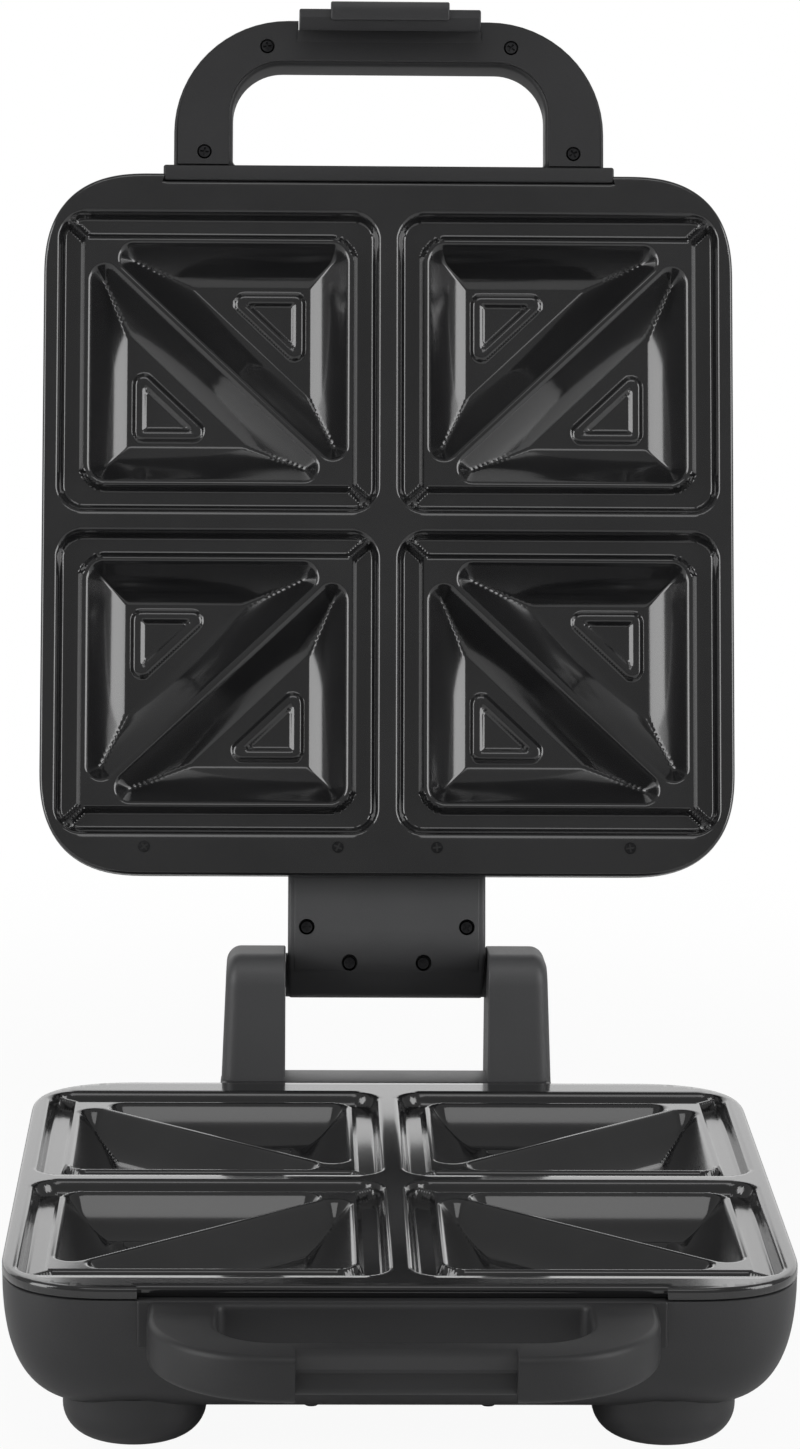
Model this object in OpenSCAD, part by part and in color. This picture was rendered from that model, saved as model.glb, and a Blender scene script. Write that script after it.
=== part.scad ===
// Four-slice sandwich toaster: a base and a hinged lid, drawn open.
// Every piece is drawn where it lies when the lid is closed: X across, -Y to the front,
// Y = 0 at the plates' rear edge and Z = 0 at the rim of the lower plate.
// The pieces of the lid are then swung open about the hinge.

/* [Overall] */
// Height of the lower plate's rim above the table
rim_h = 62; // [56:1:74]
// Angle from the closed to the open lid
open_angle = 106; // [92:1:110]
// Gap between the two rims when the lid is closed
lid_gap = 0.8; // [0.5:0.1:1.5]

/* [Cooking plates] */
// Width of a plate
plate_w = 270; // [225:1:324]
// Length of a plate, front to back
plate_l = 276; // [230:1:332]
// Radius of a plate's soft corners
plate_corner = 42; // [34:1:52]
// Thickness of the rim that shows
plate_edge = 4; // [3:0.5:6]
// Thickness of the cast floor and walls
plate_t = 3; // [2:0.5:4]
// Rim beside the cavities
side_rim = 5.2; // [4:0.2:8]
// Rim in front of the cavities
front_rim = 15; // [12:0.5:20]
// Rim behind the cavities
rear_rim = 15.5; // [14:0.5:22]
// Bar between the left and right cavities
column_gap = 6.3; // [4:0.1:10]
// Bar between the front and rear cavities
row_gap = 6.5; // [4:0.1:10]
// Corner radius of a cavity
cavity_corner = 11; // [6:1:14]
// Depth of the crust channel
channel_depth = 5; // [3:0.5:6]
// Distance from a cavity's edge to the sealing ridge
ridge_inset = 12.5; // [10:0.5:17]
// Half the width of a sealing ridge at its foot
ridge_half = 2.2; // [1.5:0.1:3]
// Drop from the rim to the top of a sealing ridge
ridge_drop = 1.2; // [0.6:0.1:2]
// Depth of a pocket
pocket_depth = 15; // [10:0.5:18]
// Run of a pocket's sloping wall
pocket_run = 15; // [10:0.5:17]
// Width of the raised triangular rib in a pocket
rib_w = 5.4; // [3:0.1:6]
// Height of that rib above the pocket's floor
rib_h = 1.6; // [1:0.1:3]
// Distance of that rib from the cavity's outer edge
rib_side = 29.3; // [28.8:0.1:33]
// Distance of that rib from the bar between front and rear
rib_bar = 29.8; // [28.8:0.1:33]
// Length of that rib's legs
rib_leg = 34.4; // [26:0.2:38]

/* [Base] */
// Depth of the housing's underside below the rim
housing_depth = 47.5; // [40:0.5:57]
// Run of the rounded lower edge
skirt_run = 29; // [24:1:34]
// Wall of the mouldings
wall = 2.5; // [2:0.1:3.5]
// Reach of the rear block behind the plates
rear_block = 49; // [46:1:56]
// Diameter of a foot
foot_d = 49; // [40:1:58]
// Distance of the feet from the middle
foot_x = 90; // [76:1:96]
// Distance of the feet from the front and rear edges
foot_inset = 36; // [32:1:44]
// Diameter of a foot's rubber pad
pad_d = 24; // [18:1:30]

/* [Hinge] */
// Hinge axis behind the plates' rear edge
axis_back = 36.8; // [35:0.2:40]
// Hinge axis above the lower rim
axis_up = 34; // [30:0.5:38]
// Radius of the hinge arm's barrel
barrel_r = 9.2; // [8.5:0.1:10]
// Radius of the hinge pins
pin_r = 5; // [4:0.1:5.5]
// Bore of the hollow hinge pins
pin_bore = 3.2; // [2.6:0.1:3.6]
// Half width of the hinge arm
arm_half = 38.4; // [34:0.2:46]
// Face of the hinge arm above the lower rim
arm_face = 9.8; // [8:0.1:12]
// Width of a tower at its foot
tower_w = 24.4; // [20:0.2:29]
// How much narrower a tower is at its top
tower_draft = 2.2; // [1:0.1:3]
// Front face of the towers behind the plates
tower_front = 2; // [1.5:0.5:4]

/* [Handles] */
// Half width of a handle
handle_half = 84.5; // [74:0.5:98]
// Reach of a handle in front of the plates
handle_reach = 62; // [52:1:74]
// Corner radius of a handle
handle_corner = 45; // [36:1:54]
// Depth of the grip bar
grip_depth = 18; // [15:0.5:22]
// Half width of a finger opening
grip_half = 61.5; // [50:0.5:70]
// Corner radius of a finger opening
grip_corner = 19.5; // [12:0.5:24]
// Half width of a handle's root bar
root_half = 88.5; // [78:0.5:102]
// Thickness of the upper handle
lid_handle_t = 22; // [18:0.5:26]
// Thickness of the lower handle
base_handle_t = 15.8; // [14:0.2:18]

/* [Lid] */
// Room over the pockets for the element, its reflector and the lamps
lid_room = 23; // [21:0.5:28]
// Radius of an indicator lens
lens_r = 4; // [3:0.5:6]
// Distance of the lenses from the middle
lens_x = 14; // [8:1:24]

/* [Latch] */
// Half width of the latch
latch_half = 35.5; // [28:0.5:42]
// Half width of the latch's finger tab
tab_half = 23.2; // [16:0.2:28]
// Reach of the hook under the lower handle's lip
hook_reach = 4; // [3:0.5:5]

/* [Fits] */
// Gap between a fixed piece and its seat
seat = 0.3; // [0.2:0.05:0.4]
// Radial clearance of a shaft in its bore
run_fit = 0.05; // [0.02:0.01:0.1]
// Gap beside pieces that move past each other
side_gap = 0.4; // [0.3:0.1:0.8]

/* [Hidden] */
$fn = 48;
black = [0.09, 0.09, 0.09];
coat = [0.06, 0.06, 0.065];
steel = [0.72, 0.72, 0.72];
cut = 0.01;       // overshoot of a cut
far = 400;        // longer than any piece

// ---- places worked out from the sizes above ----
half_w = plate_w / 2;
tip = plate_l + handle_reach;                  // front of the handles
cavity_w = half_w - side_rim - column_gap / 2;
cavity_l = (plate_l - front_rim - rear_rim - row_gap) / 2;
row_mid = rear_rim + cavity_l + row_gap / 2;   // middle of the row bar, from the rear edge
cross = 1 / sqrt(1 / pow(cavity_w, 2) + 1 / pow(cavity_l, 2));  // corner to diagonal
notch_d = 3;                                   // step of the plates' front edge at the handle
cup_low = -pocket_depth - plate_t;             // underside of the pockets
slab_low = -channel_depth - plate_t;           // underside of the channels
slab_t = plate_edge;
skirt_top = -plate_edge - seat;                // top edge of the base housing
corner_power = 2.6;                            // softness of the plates' corners
corner_steps = 8;
skirt_power = 2.7;                             // softness of the housing's lower edge
skirt_draft = 1;
skirt_steps = 9;
lid_run = 25;                                  // run of the lid's rounded top edge
lid_power = 2.4;
lid_low = lid_gap + plate_edge + seat;         // lower edge of the lid cover
lid_top = lid_gap + pocket_depth + lid_room;
pan_inset = 24.5;                              // edge of the bottom opening
ledge_inset = 32;                              // edge of the ledge that the pan is screwed to
pan_t = 2;
pan_low = -housing_depth;
ledge_low = pan_low + pan_t + seat;
ledge_t = 2.3;
floor_z = -rim_h;
pad_t = 2;
pad_sink = 1;                                  // how far a pad sits in its foot
foot_top = pan_low - seat;
collar_h = 5;                                  // collars that meet the feet under the rounded skirt
foot_low = floor_z + pad_t - pad_sink;
element_r = 3.3;
element_z = cup_low - seat - element_r;
element_x = 86;
element_corner = 28;
element_margin = 35.5;                         // from the ends of the cavities
element_front = row_mid + cavity_l - element_margin;
element_rear = row_mid - cavity_l + element_margin;
element_end_x = 14;
reflector_t = 0.8;
reflector_z = element_z - element_r - 8;
lid_reflector_z = element_z - element_r - 1.5;
hanger_x = 60;
hanger_r = 2.7;
reflector_x = 108;
post_x = half_w - 12.5;                        // posts that hold the lower plate
post_r = 3.5;
post_y = [rear_rim + 44, plate_l - front_rim - 45];
post_low = -28;
ear_reach = 6.5;
screw_r = 1.5;
head_r = 2.6;
head_h = 1.8;
pilot_r = screw_r + run_fit;
hole_r = screw_r + 0.25;
base_top = skirt_top - 0.2;                    // top face of the lower handle
base_low = base_top - base_handle_t;
handle_skin = 2.2;
cover_t = 2;
screw_u = [plate_l + 8.7, plate_l + 51];       // handle screws, from the rear edge
screw_x = [72.5, 48];
root_face = plate_l + 3.5;                     // front of the upper handle's root bar
base_root_face = plate_l + 1;                  // front of the lower handle's root bar
latch_face = tip - 4;                          // notch face of the lower handle
latch_lip = 10.7;                              // lower edge of the lip that the hook grips
latch_lip_chamfer = 5;
hook_face = latch_face + seat;                 // rear face of the latch
hook_t = 3.7;
hook_top = -latch_lip - 0.5;
latch_low = -16.5;
latch_barrel = 3.6;
pivot_u = hook_face + hook_t - latch_barrel;
pivot_z = lid_gap + 14.5;
latch_pin_r = 1.5;
tab_reach = 3;
notch_half = latch_half + side_gap + 0.4;
cheek_t = 3;
plate_screw_u = 10.5;
plate_screw_x = [19.2, 94.2];
arm_run = 20;                                  // flat stretch of the hinge arm's face
arm_round = 20;                                // radius that follows it
arm_top = 30;
arm_skin = 2.2;
tongue_y = -13.6;
arm_screws = [[31.1, 19.4], [14.4, 33]];
barrel_half = arm_half + 0.8;
hub_r = barrel_r - 0.6;                        // hubs that hold the pins
tower_in = barrel_half + side_gap;
tower_half = tower_in + tower_w;
tower_top_half = tower_half - tower_draft;
block_half = tower_half + 0.6;                 // half width of the rear block
tower_top = axis_up + 11.5;
tower_r = 11.5;
boss_r = 8.4;
bush_r = pin_r + 1.5;
bush_len = 10;
pin_in = arm_half - 11.9;
pin_out = tower_in + wall + bush_len + 0.4;
key_t = 2;
key_r = 8.4;
key_root = (pin_r + pin_bore) / 2;
cap_t = 2.2;
cap_x = (tower_in + tower_half) / 2 - 0.7;
cap_screw_z = [-8, axis_up - 14];
cap_y = rear_block - 1.5 - cap_t;              // inner face of the tower covers
gland_x = -40;
gland_z = -34;
gland_r = 5.5;
lead_r = 2.2;
block_x = -4;                                  // terminal block
block_z = -housing_depth + wall + seat;
wire_r = 1.1;
lens_u = plate_l - 38;
// the frame's origin is at the middle of the open toaster's box, on the table
lid_lean = open_angle - 90;
rear_reach = axis_back + (tip + axis_back) * sin(lid_lean)
    + (lid_gap + lid_handle_t - axis_up) * cos(lid_lean);
frame_y = (tip - rear_reach) / 2;

// ---- shapes used by several pieces ----

function soft(a, p) = [sign(cos(a)) * pow(abs(cos(a)), 2 / p), sign(sin(a)) * pow(abs(sin(a)), 2 / p)];

// outline of a plate, drawn in by inset, anticlockwise from the right
function outline(inset) = [
    for (q = [0:3]) for (k = [0:corner_steps])
        let (a = 90 * (q + k / corner_steps), r = max(plate_corner - inset, 2),
            sx = (q == 0 || q == 3) ? 1 : -1, sy = q < 2 ? 0 : 1, s = soft(a, corner_power))
        [sx * (half_w - inset - r) + r * s[0],
            sy == 0 ? -inset - r + r * s[1] : -plate_l + inset + r + r * s[1]]];

// solid through level outlines, each given as [inset, z] from the bottom up
module loft(rings) {
    n = len(outline(0));
    pts = [for (g = rings) for (p = outline(g[0])) [p[0], p[1], g[1]]];
    sides = [for (k = [0:len(rings) - 2]) for (i = [0:n - 1])
        let (j = (i + 1) % n)
        each [[k * n + i, (k + 1) * n + i, (k + 1) * n + j], [k * n + i, (k + 1) * n + j, k * n + j]]];
    low = [for (i = [0:n - 1]) i];
    high = [for (i = [n - 1:-1:0]) (len(rings) - 1) * n + i];
    polyhedron(points = pts, faces = concat(sides, [low, high]), convexity = 4);
}

// slab with the plates' outline
module slab(inset, z0, z1) {
    translate([0, 0, z0]) linear_extrude(z1 - z0) polygon(outline(inset));
}

function unit(v) = v / norm(v);

// corner at p, rounded by r, between the neighbours a and b
function bend(a, p, b, r, n) =
    let (u = unit(a - p), v = unit(b - p), h = acos(max(-1, min(1, u * v))) / 2,
        c = p + unit(u + v) * r / sin(h), s = p + u * r / tan(h), e = p + v * r / tan(h),
        a0 = atan2(s[1] - c[1], s[0] - c[0]), a1 = atan2(e[1] - c[1], e[0] - c[0]),
        d = ((a1 - a0 + 540) % 360) - 180)
    [for (k = [0:n]) c + r * [cos(a0 + d * k / n), sin(a0 + d * k / n)]];

function round_off(pts, radii, n) = [
    for (i = [0:len(pts) - 1])
        each bend(pts[(i + len(pts) - 1) % len(pts)], pts[i], pts[(i + 1) % len(pts)], radii[i], n)];

// lower-left pocket of a cavity, drawn in by d; the cavity's corner is the origin
function pocket(d) =
    let (a = ridge_inset + d, k = 1 - d / cross)
    round_off([[a, a], [cavity_w * (k - a / cavity_l), a], [a, cavity_l * (k - a / cavity_w)]],
        [max(8 - d, 1.5), 1.5, 1.5], 4);

// tapered solid between two pocket outlines
module pocket_taper(d_top, z_top, d_low, z_low) {
    top = pocket(d_top);
    low = pocket(d_low);
    n = len(top);
    pts = concat([for (p = low) [p[0], p[1], z_low]], [for (p = top) [p[0], p[1], z_top]]);
    sides = [for (i = [0:n - 1])
        let (j = (i + 1) % n)
        each [[i, n + i, n + j], [i, n + j, j]]];
    polyhedron(points = pts, faces = concat(sides, [[for (i = [0:n - 1]) i]],
        [[for (i = [n - 1:-1:0]) n + i]]), convexity = 4);
}

// the children once in each half of each of the four cavities
module in_pockets() {
    for (sx = [0, 1]) for (sy = [0, 1]) for (half = [0, 1])
        translate([0, -row_mid, 0]) mirror([sx, 0, 0]) mirror([0, sy, 0])
            translate([-half_w + side_rim, row_gap / 2, 0])
                translate(half * [cavity_w, cavity_l, 0]) rotate([0, 0, 180 * half]) children();
}

module in_cavities() {
    for (sx = [0, 1]) for (sy = [0, 1])
        translate([0, -row_mid, 0]) mirror([sx, 0, 0]) mirror([0, sy, 0])
            translate([-half_w + side_rim, row_gap / 2, 0]) children();
}

module cavity_plan(grow) {
    r = cavity_corner + grow;
    polygon(round_off([[-grow, -grow], [cavity_w + grow, -grow], [cavity_w + grow, cavity_l + grow],
        [-grow, cavity_l + grow]], [r, r, r, r], 6));
}

// crust channel of one cavity: all of it but the pockets and the ridges round them
module channel_plan() {
    bar = ridge_half * cavity_w / cross;
    difference() {
        cavity_plan(0);
        polygon(pocket(-ridge_half));
        translate([cavity_w, cavity_l]) rotate([0, 0, 180]) polygon(pocket(-ridge_half));
        polygon([[0, cavity_l - bar], [0, cavity_l + bar], [cavity_w, bar], [cavity_w, -bar]]);
    }
}

// triangular rib on a pocket's floor
module rib() {
    translate([rib_side, rib_bar, -pocket_depth - cut]) linear_extrude(rib_h) difference() {
        polygon(round_off([[0, 0], [rib_leg, 0], [0, rib_leg]], [3.5, 4.4, 4.4], 4));
        offset(delta = -rib_w) polygon([[0, 0], [rib_leg, 0], [0, rib_leg]]);
    }
}

// one cooking plate, face up, rim at z = 0; tray_z is the top of its reflector's floor
module cooking_plate(tray_z) {
    difference() {
        union() {
            difference() {
                slab(0, -plate_edge, 0);
                translate([-root_half, -plate_l - 1, -far / 2]) cube([2 * root_half, notch_d + 1, far]);
            }
            intersection() {
                in_cavities() translate([0, 0, slab_low])
                    linear_extrude(-slab_low - plate_edge + cut) cavity_plan(1.5);
                slab(wall + 0.8, slab_low - 1, 0);
            }
            in_pockets() pocket_taper(-plate_t, -channel_depth - cut, pocket_run - plate_t, cup_low);
        }
        in_cavities() translate([0, 0, -ridge_drop]) linear_extrude(far) cavity_plan(0);
        in_cavities() translate([0, 0, -channel_depth]) linear_extrude(far) channel_plan();
        in_pockets() pocket_taper(0, 1 - ridge_drop, pocket_run, -pocket_depth);
    }
    in_pockets() rib();
    // stepped pins that carry the reflector
    for (s = [-1, 1]) translate([s * hanger_x, -row_mid, 0]) {
        translate([0, 0, tray_z + seat]) cylinder(r = 4, h = slab_low - tray_z - seat + cut);
        translate([0, 0, tray_z - 2]) cylinder(r = hanger_r, h = 3);
    }
}

// solid drawn in the YZ plane and stretched along X from x0 to x1
module across(x0, x1) {
    translate([x0, 0, 0]) rotate([90, 0, 90]) linear_extrude(x1 - x0) children();
}

// cylinder along X
module shaft(r, x0, x1) {
    translate([x0, 0, 0]) rotate([0, 90, 0]) cylinder(r = r, h = x1 - x0);
}

module at_axis() {
    translate([0, axis_back, axis_up]) children();
}

// cross-head screw with its head's underside at the origin, shank along -Z
module screw(length) {
    difference() {
        union() {
            cylinder(r = head_r, h = head_h);
            translate([0, 0, -length]) cylinder(r = screw_r, h = length + cut);
        }
        for (a = [0, 90]) rotate([0, 0, a]) translate([-1.6, -0.35, head_h - 0.9]) cube([3.2, 0.7, 1]);
    }
}

// round bar through points, with slightly larger balls at the bends
module wire(pts, r) {
    for (i = [0:len(pts) - 2]) {
        d = pts[i + 1] - pts[i];
        translate(pts[i]) rotate([0, acos(d[2] / norm(d)), atan2(d[1], d[0])])
            cylinder(r = r, h = norm(d), $fn = 16);
    }
    for (i = [1:len(pts) - 2]) translate(pts[i]) sphere(r = 1.05 * r, $fn = 16);
}

// plan of a handle from its tip back to rear, drawn in by inset
module handle_plan(inset, rear) {
    w = handle_half - inset;
    r = handle_corner - inset;
    front = tip - inset;
    difference() {
        intersection() {
            union() {
                translate([-w, -front + r]) square([2 * w, handle_corner]);
                translate([-w + r, -front]) square([2 * (w - r), r + cut]);
                for (s = [-1, 1]) translate([s * (w - r), -front + r]) circle(r = r, $fn = 96);
            }
            translate([-w, -tip]) square([2 * w, tip - rear]);
        }
        grip_plan(-inset);
    }
}

// plan of a finger opening, drawn in by inset
module grip_plan(inset) {
    w = grip_half - inset;
    r = grip_corner - inset;
    front = tip - grip_depth - inset;
    rear = root_face + inset;
    translate([-w, -front + r]) square([2 * w, front - r - rear]);
    translate([-w + r, -front]) square([2 * (w - r), r + cut]);
    for (s = [-1, 1]) translate([s * (w - r), -front + r]) circle(r = r, $fn = 64);
}

module at_handle_screws(z) {
    for (s = [-1, 1]) for (k = [0, 1]) translate([s * screw_x[k], -screw_u[k], z]) children();
}

// swings the closed lid open
module swing() {
    translate([0, frame_y, rim_h]) at_axis() rotate([-open_angle, 0, 0])
        translate([0, -axis_back, -axis_up]) children();
}

module stand() {
    translate([0, frame_y, rim_h]) children();
}

// ---- the base ----

// insets and levels of the housing's side, from the bottom up; thick is the distance inside
function skirt(thick) = [
    for (k = [skirt_steps:-1:0])
        let (s = soft(90 * k / skirt_steps, skirt_power), rise = housing_depth + skirt_top)
        [skirt_run * (1 - s[0]) + skirt_draft * s[1] + thick,
            skirt_top - (rise - (thick > 0 ? pan_t + seat + ledge_t : 0)) * s[1]]];

module rear_profile(inset) {
    polygon(concat(
        [[-skirt_run, -housing_depth + inset], [-wall - 1, skirt_top], [0.5 + inset, skirt_top],
            [0.5 + inset, -seat - inset], [14, -seat - inset]],
        [for (a = [75:-15:0]) [14 + (rear_block - 14 - inset) * cos(a), -25 + (25 - seat - inset) * sin(a)]],
        [for (a = [0:-15:-90]) [rear_block - 8 - inset + 8 * cos(a), -housing_depth + 8 + inset + 8 * sin(a)]]));
}

// side view of a tower
module tower_profile(inset) {
    polygon(concat(
        [[tower_front + inset, -14], [tower_front + 3 + inset, tower_top - 4]],
        [for (a = [180:-15:90]) [tower_front + 7 + (4 - inset) * cos(a), tower_top - 4 + (4 - inset) * sin(a)]],
        [for (a = [90:-10:0]) [axis_back + (tower_r - inset) * cos(a), axis_up + (tower_r - inset) * sin(a)]],
        [[axis_back + tower_r - inset, axis_up - 4], [rear_block - inset, -14]]));
}

// front view of the right tower
module tower_front_view(inset) {
    polygon(concat(
        [[tower_in + inset, -15], [block_half - inset, -15],
            [tower_top_half + 0.2 - inset, tower_top - 5]],
        [for (a = [0:15:90]) [tower_top_half - 5 + (5 - inset) * cos(a), tower_top - 5 + (5 - inset) * sin(a)]],
        [[tower_in + inset, tower_top - inset]]));
}

module tower_block(inset) {
    intersection() {
        across(0, far) tower_profile(inset);
        translate([0, far / 2, 0]) rotate([90, 0, 0]) linear_extrude(far) tower_front_view(inset);
    }
}

// right tower: walls, bearing boss and the stop that the pin's key meets
module tower() {
    difference() {
        union() {
            difference() {
                tower_block(0);
                tower_block(wall);
                translate([tower_in + wall, cap_y - 0.2, -15])
                    cube([tower_half - tower_in - 2 * wall - 1.5, far, axis_up + 15]);
                translate([tower_in + wall, tower_front + wall + 1, -20])
                    cube([tower_half - tower_in - 2 * wall, rear_block - tower_front - 2 * wall - 3, 12]);
            }
            at_axis() shaft(boss_r, tower_in, tower_in + wall + bush_len);
            for (z = cap_screw_z) translate([cap_x, cap_y - 9, z]) {
                rotate([-90, 0, 0]) cylinder(r = 3, h = 8.9);
                translate([tower_in + wall - cap_x - cut, 0, -1]) cube([cap_x - tower_in - wall, 8.9, 2]);
            }
            translate([pin_out - key_t - 0.4, axis_back + 1.6, axis_up + pin_r + 0.6])
                cube([tower_top_half - pin_out + key_t - 0.5, 3, key_r - pin_r - 0.2]);
        }
        at_axis() shaft(bush_r + run_fit, tower_in - 1, tower_in + wall + bush_len + 1);
        for (z = cap_screw_z) translate([cap_x, cap_y - 8, z]) rotate([-90, 0, 0]) cylinder(r = pilot_r, h = 20);
    }
}

module base_housing() {
    color(black) stand() {
        difference() {
            union() {
                loft(skirt(0));
                across(-block_half, block_half) rear_profile(0);
                difference() {
                    at_feet(-housing_depth) cylinder(r = foot_d / 2, h = collar_h);
                    slab(pan_inset - wall, -housing_depth - 1, 0);
                }
            }
            // inside of the skirt, open at the top
            loft(concat(skirt(wall), [[wall + 0.5, 1]]));
            slab(-1, skirt_top, 5);
            // bottom opening: a rebate for the pan, and the ledge above it
            slab(pan_inset, -housing_depth - 1, ledge_low);
            slab(ledge_inset, -housing_depth - 1, skirt_top);
            // inside of the rear block, and the tower feet
            difference() {
                across(wall - block_half, block_half - wall) rear_profile(wall);
                for (s = [-1, 1]) translate([s * (block_half - 8), rear_block - 8, -housing_depth])
                    cylinder(r = 4, h = 14);
            }
            translate([wall - block_half, -16, -38]) cube([2 * (block_half - wall), 21, 31]);
            for (s = [0, 1]) mirror([s, 0, 0])
                translate([tower_in + wall, tower_front + wall + 1, -10])
                    cube([tower_half - tower_in - 2 * wall, rear_block - tower_front - 2 * wall - 4, 12]);
            at_pan_screws(-housing_depth - 1) cylinder(r = pilot_r, h = 6);
            // gland
            translate([gland_x, rear_block + 1, gland_z]) rotate([90, 0, 0]) cylinder(r = gland_r + 0.1, h = 10);
            // seat of the lower handle's root bar
            translate([-root_half - 0.2, -plate_l - 1, base_low - 0.2]) cube([2 * root_half + 0.4, 10, 40]);
            // tower cap screws' reach
            for (s = [0, 1]) mirror([s, 0, 0])
                translate([tower_in + wall, cap_y - 0.2, -14.6])
                    cube([tower_half - tower_in - 2 * wall - 1.5, far, 14]);
        }
        for (s = [0, 1]) mirror([s, 0, 0]) tower();
        // ears that hold the lower plate's posts
        for (s = [-1, 1]) for (u = post_y) difference() {
            translate([s > 0 ? post_x - 5 : -post_x - ear_reach, -u - 6, post_low - seat - 3])
                cube([5 + ear_reach, 12, 3]);
            translate([s * post_x, -u, -far / 2]) cylinder(r = hole_r, h = far);
        }
        // bosses that take the pan's screws
        at_pan_screws(ledge_low + ledge_t - cut) difference() {
            cylinder(r = 3.6, h = 6);
            translate([0, 0, -1]) cylinder(r = pilot_r, h = 8);
        }
    }
}

module at_pan_screws(z) {
    x = half_w - (pan_inset + ledge_inset) / 2;
    for (s = [-1, 1]) for (u = [plate_l * 0.28, plate_l * 0.72]) translate([s * x, -u, z]) children();
    for (s = [-1, 1]) for (u = [(pan_inset + ledge_inset) / 2, plate_l - (pan_inset + ledge_inset) / 2])
        translate([s * 30, -u, z]) children();
}

module bottom_pan() {
    color([0.13, 0.13, 0.13]) stand() difference() {
        slab(pan_inset + seat, pan_low, pan_low + pan_t);
        at_pan_screws(-far / 2) cylinder(r = hole_r, h = far);
        at_feet(-far / 2) cylinder(r = hole_r, h = far);
        for (s = [-1, 1]) for (k = [-5:5])
            translate([k * 11 - 2, s * 48 - row_mid - 19, -far / 2]) cube([4, 38, far]);
    }
}

module pan_screws() {
    color(steel) stand() at_pan_screws(pan_low - cut) mirror([0, 0, 1]) screw(7.5);
}

module at_feet(z) {
    for (sx = [-1, 1]) for (u = [foot_inset, plate_l - foot_inset]) translate([sx * foot_x, -u, z]) children();
}

// pod foot with a rounded lower edge and a seat for its pad
module foot(sx, u) {
    r = foot_d / 2;
    round = 11;
    color(black) stand() translate([sx * foot_x, -u, 0]) difference() {
        rotate_extrude($fn = 64) polygon(concat(
            [[0, foot_low], [r - round, foot_low]],
            [for (a = [-75:15:0]) [r - round + round * cos(a), foot_low + round + round * sin(a)]],
            [[r, foot_top], [0, foot_top]]));
        translate([0, 0, foot_low - 1]) cylinder(r = pad_d / 2 + 0.1, h = 1 + pad_sink + 0.05);
        translate([0, 0, foot_top - 8]) cylinder(r = pilot_r, h = 9);
    }
}

module pad(sx, u) {
    color([0.05, 0.05, 0.05]) stand() translate([sx * foot_x, -u, floor_z]) cylinder(r = pad_d / 2, h = pad_t);
}

module foot_screws() {
    color(steel) stand() at_feet(pan_low + pan_t + cut) screw(8);
}

module base_plate() {
    color(coat) stand() {
        cooking_plate(reflector_z);
        for (s = [-1, 1]) for (u = post_y) translate([s * post_x, -u, post_low]) difference() {
            cylinder(r = post_r, h = -post_low - channel_depth - plate_t + cut);
            translate([0, 0, -1]) cylinder(r = pilot_r, h = 12);
        }
    }
}

module base_plate_screws() {
    color(steel) stand() for (s = [-1, 1]) for (u = post_y)
        translate([s * post_x, -u, post_low - seat - 3 - cut]) mirror([0, 0, 1]) screw(11);
}

// heating element: a rounded loop whose two ends run to the rear
module element(z) {
    x = element_x;
    r = element_corner;
    translate([0, 0, z]) {
        for (s = [-1, 1]) {
            translate([s * x, -element_rear - r, 0]) rotate([90, 0, 0])
                cylinder(r = element_r, h = element_front - element_rear - 2 * r);
            translate([s * (x - r), -element_front + r, 0]) rotate([0, 0, s > 0 ? -90 : 180])
                rotate_extrude(angle = 90) translate([r, 0]) circle(r = element_r, $fn = 24);
            translate([s * (x - r), -element_rear - r, 0]) rotate([0, 0, s > 0 ? 0 : 90])
                rotate_extrude(angle = 90) translate([r, 0]) circle(r = element_r, $fn = 24);
            translate([s > 0 ? element_end_x : -x + r, -element_rear, 0]) rotate([0, 90, 0])
                cylinder(r = element_r, h = x - r - element_end_x);
            translate([s * element_end_x, -element_rear, 0]) sphere(r = element_r, $fn = 24);
            translate([s * element_end_x, -element_rear, 0]) rotate([-90, 0, 0])
                cylinder(r = element_r, h = 22);
            translate([s * element_end_x, -element_rear, 0]) rotate([-90, 0, 0])
                cylinder(r = 1.2, h = 30);
        }
        translate([-x + r, -element_front, 0]) rotate([0, 90, 0]) cylinder(r = element_r, h = 2 * (x - r));
    }
}

// straps that press the element on the plate
module clamps(z) {
    for (s = [-1, 1]) for (u = [row_mid - 42, row_mid + 42])
        translate([s * element_x, -u, z]) difference() {
            translate([-9, -4, -element_r - 1.5]) cube([18, 8, 2 * element_r + 1.5 + seat - 0.05]);
            rotate([90, 0, 0]) translate([0, 0, -6]) cylinder(r = element_r + seat, h = 12);
            translate([-element_r - seat, -6, 0]) cube([2 * (element_r + seat), 12, 8]);
        }
}

// shallow tray that throws the heat back
module reflector(z, rim) {
    x = reflector_x;
    difference() {
        translate([-x, -element_front - 20, z - reflector_t])
            cube([2 * x, element_front - element_rear + 32, rim]);
        translate([-x + reflector_t, -element_front - 20 + reflector_t, z])
            cube([2 * (x - reflector_t), element_front - element_rear + 32 - 2 * reflector_t, rim]);
        for (s = [-1, 1]) translate([s * hanger_x, -row_mid, z - 5]) cylinder(r = hanger_r + 0.1, h = 10);
    }
}

module base_element() { color([0.35, 0.34, 0.33]) stand() element(element_z); }

module base_element_clamps() { color(steel) stand() clamps(element_z); }

module base_reflector() { color([0.8, 0.8, 0.8]) stand() reflector(reflector_z, 5); }

// disc thermostat under the middle of the lower plate
module thermostat() {
    color([0.75, 0.72, 0.62]) stand() translate([0, -row_mid, slab_low - seat]) {
        cylinder(r = 1.1, h = slab_t);
        translate([0, 0, -5]) cylinder(r = 7, h = 5 + cut);
        for (s = [-1, 1]) translate([s * 4 - 0.4, -2, -9]) cube([0.8, 4, 4.1]);
    }
}

module thermal_fuse() {
    color([0.85, 0.85, 0.8]) stand() translate([0, -row_mid + 30, slab_low - seat - 2]) {
        rotate([90, 0, 0]) cylinder(r = 2, h = 11);
        translate([0, 9, 0]) rotate([90, 0, 0]) cylinder(r = 0.6, h = 29);
    }
}

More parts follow.
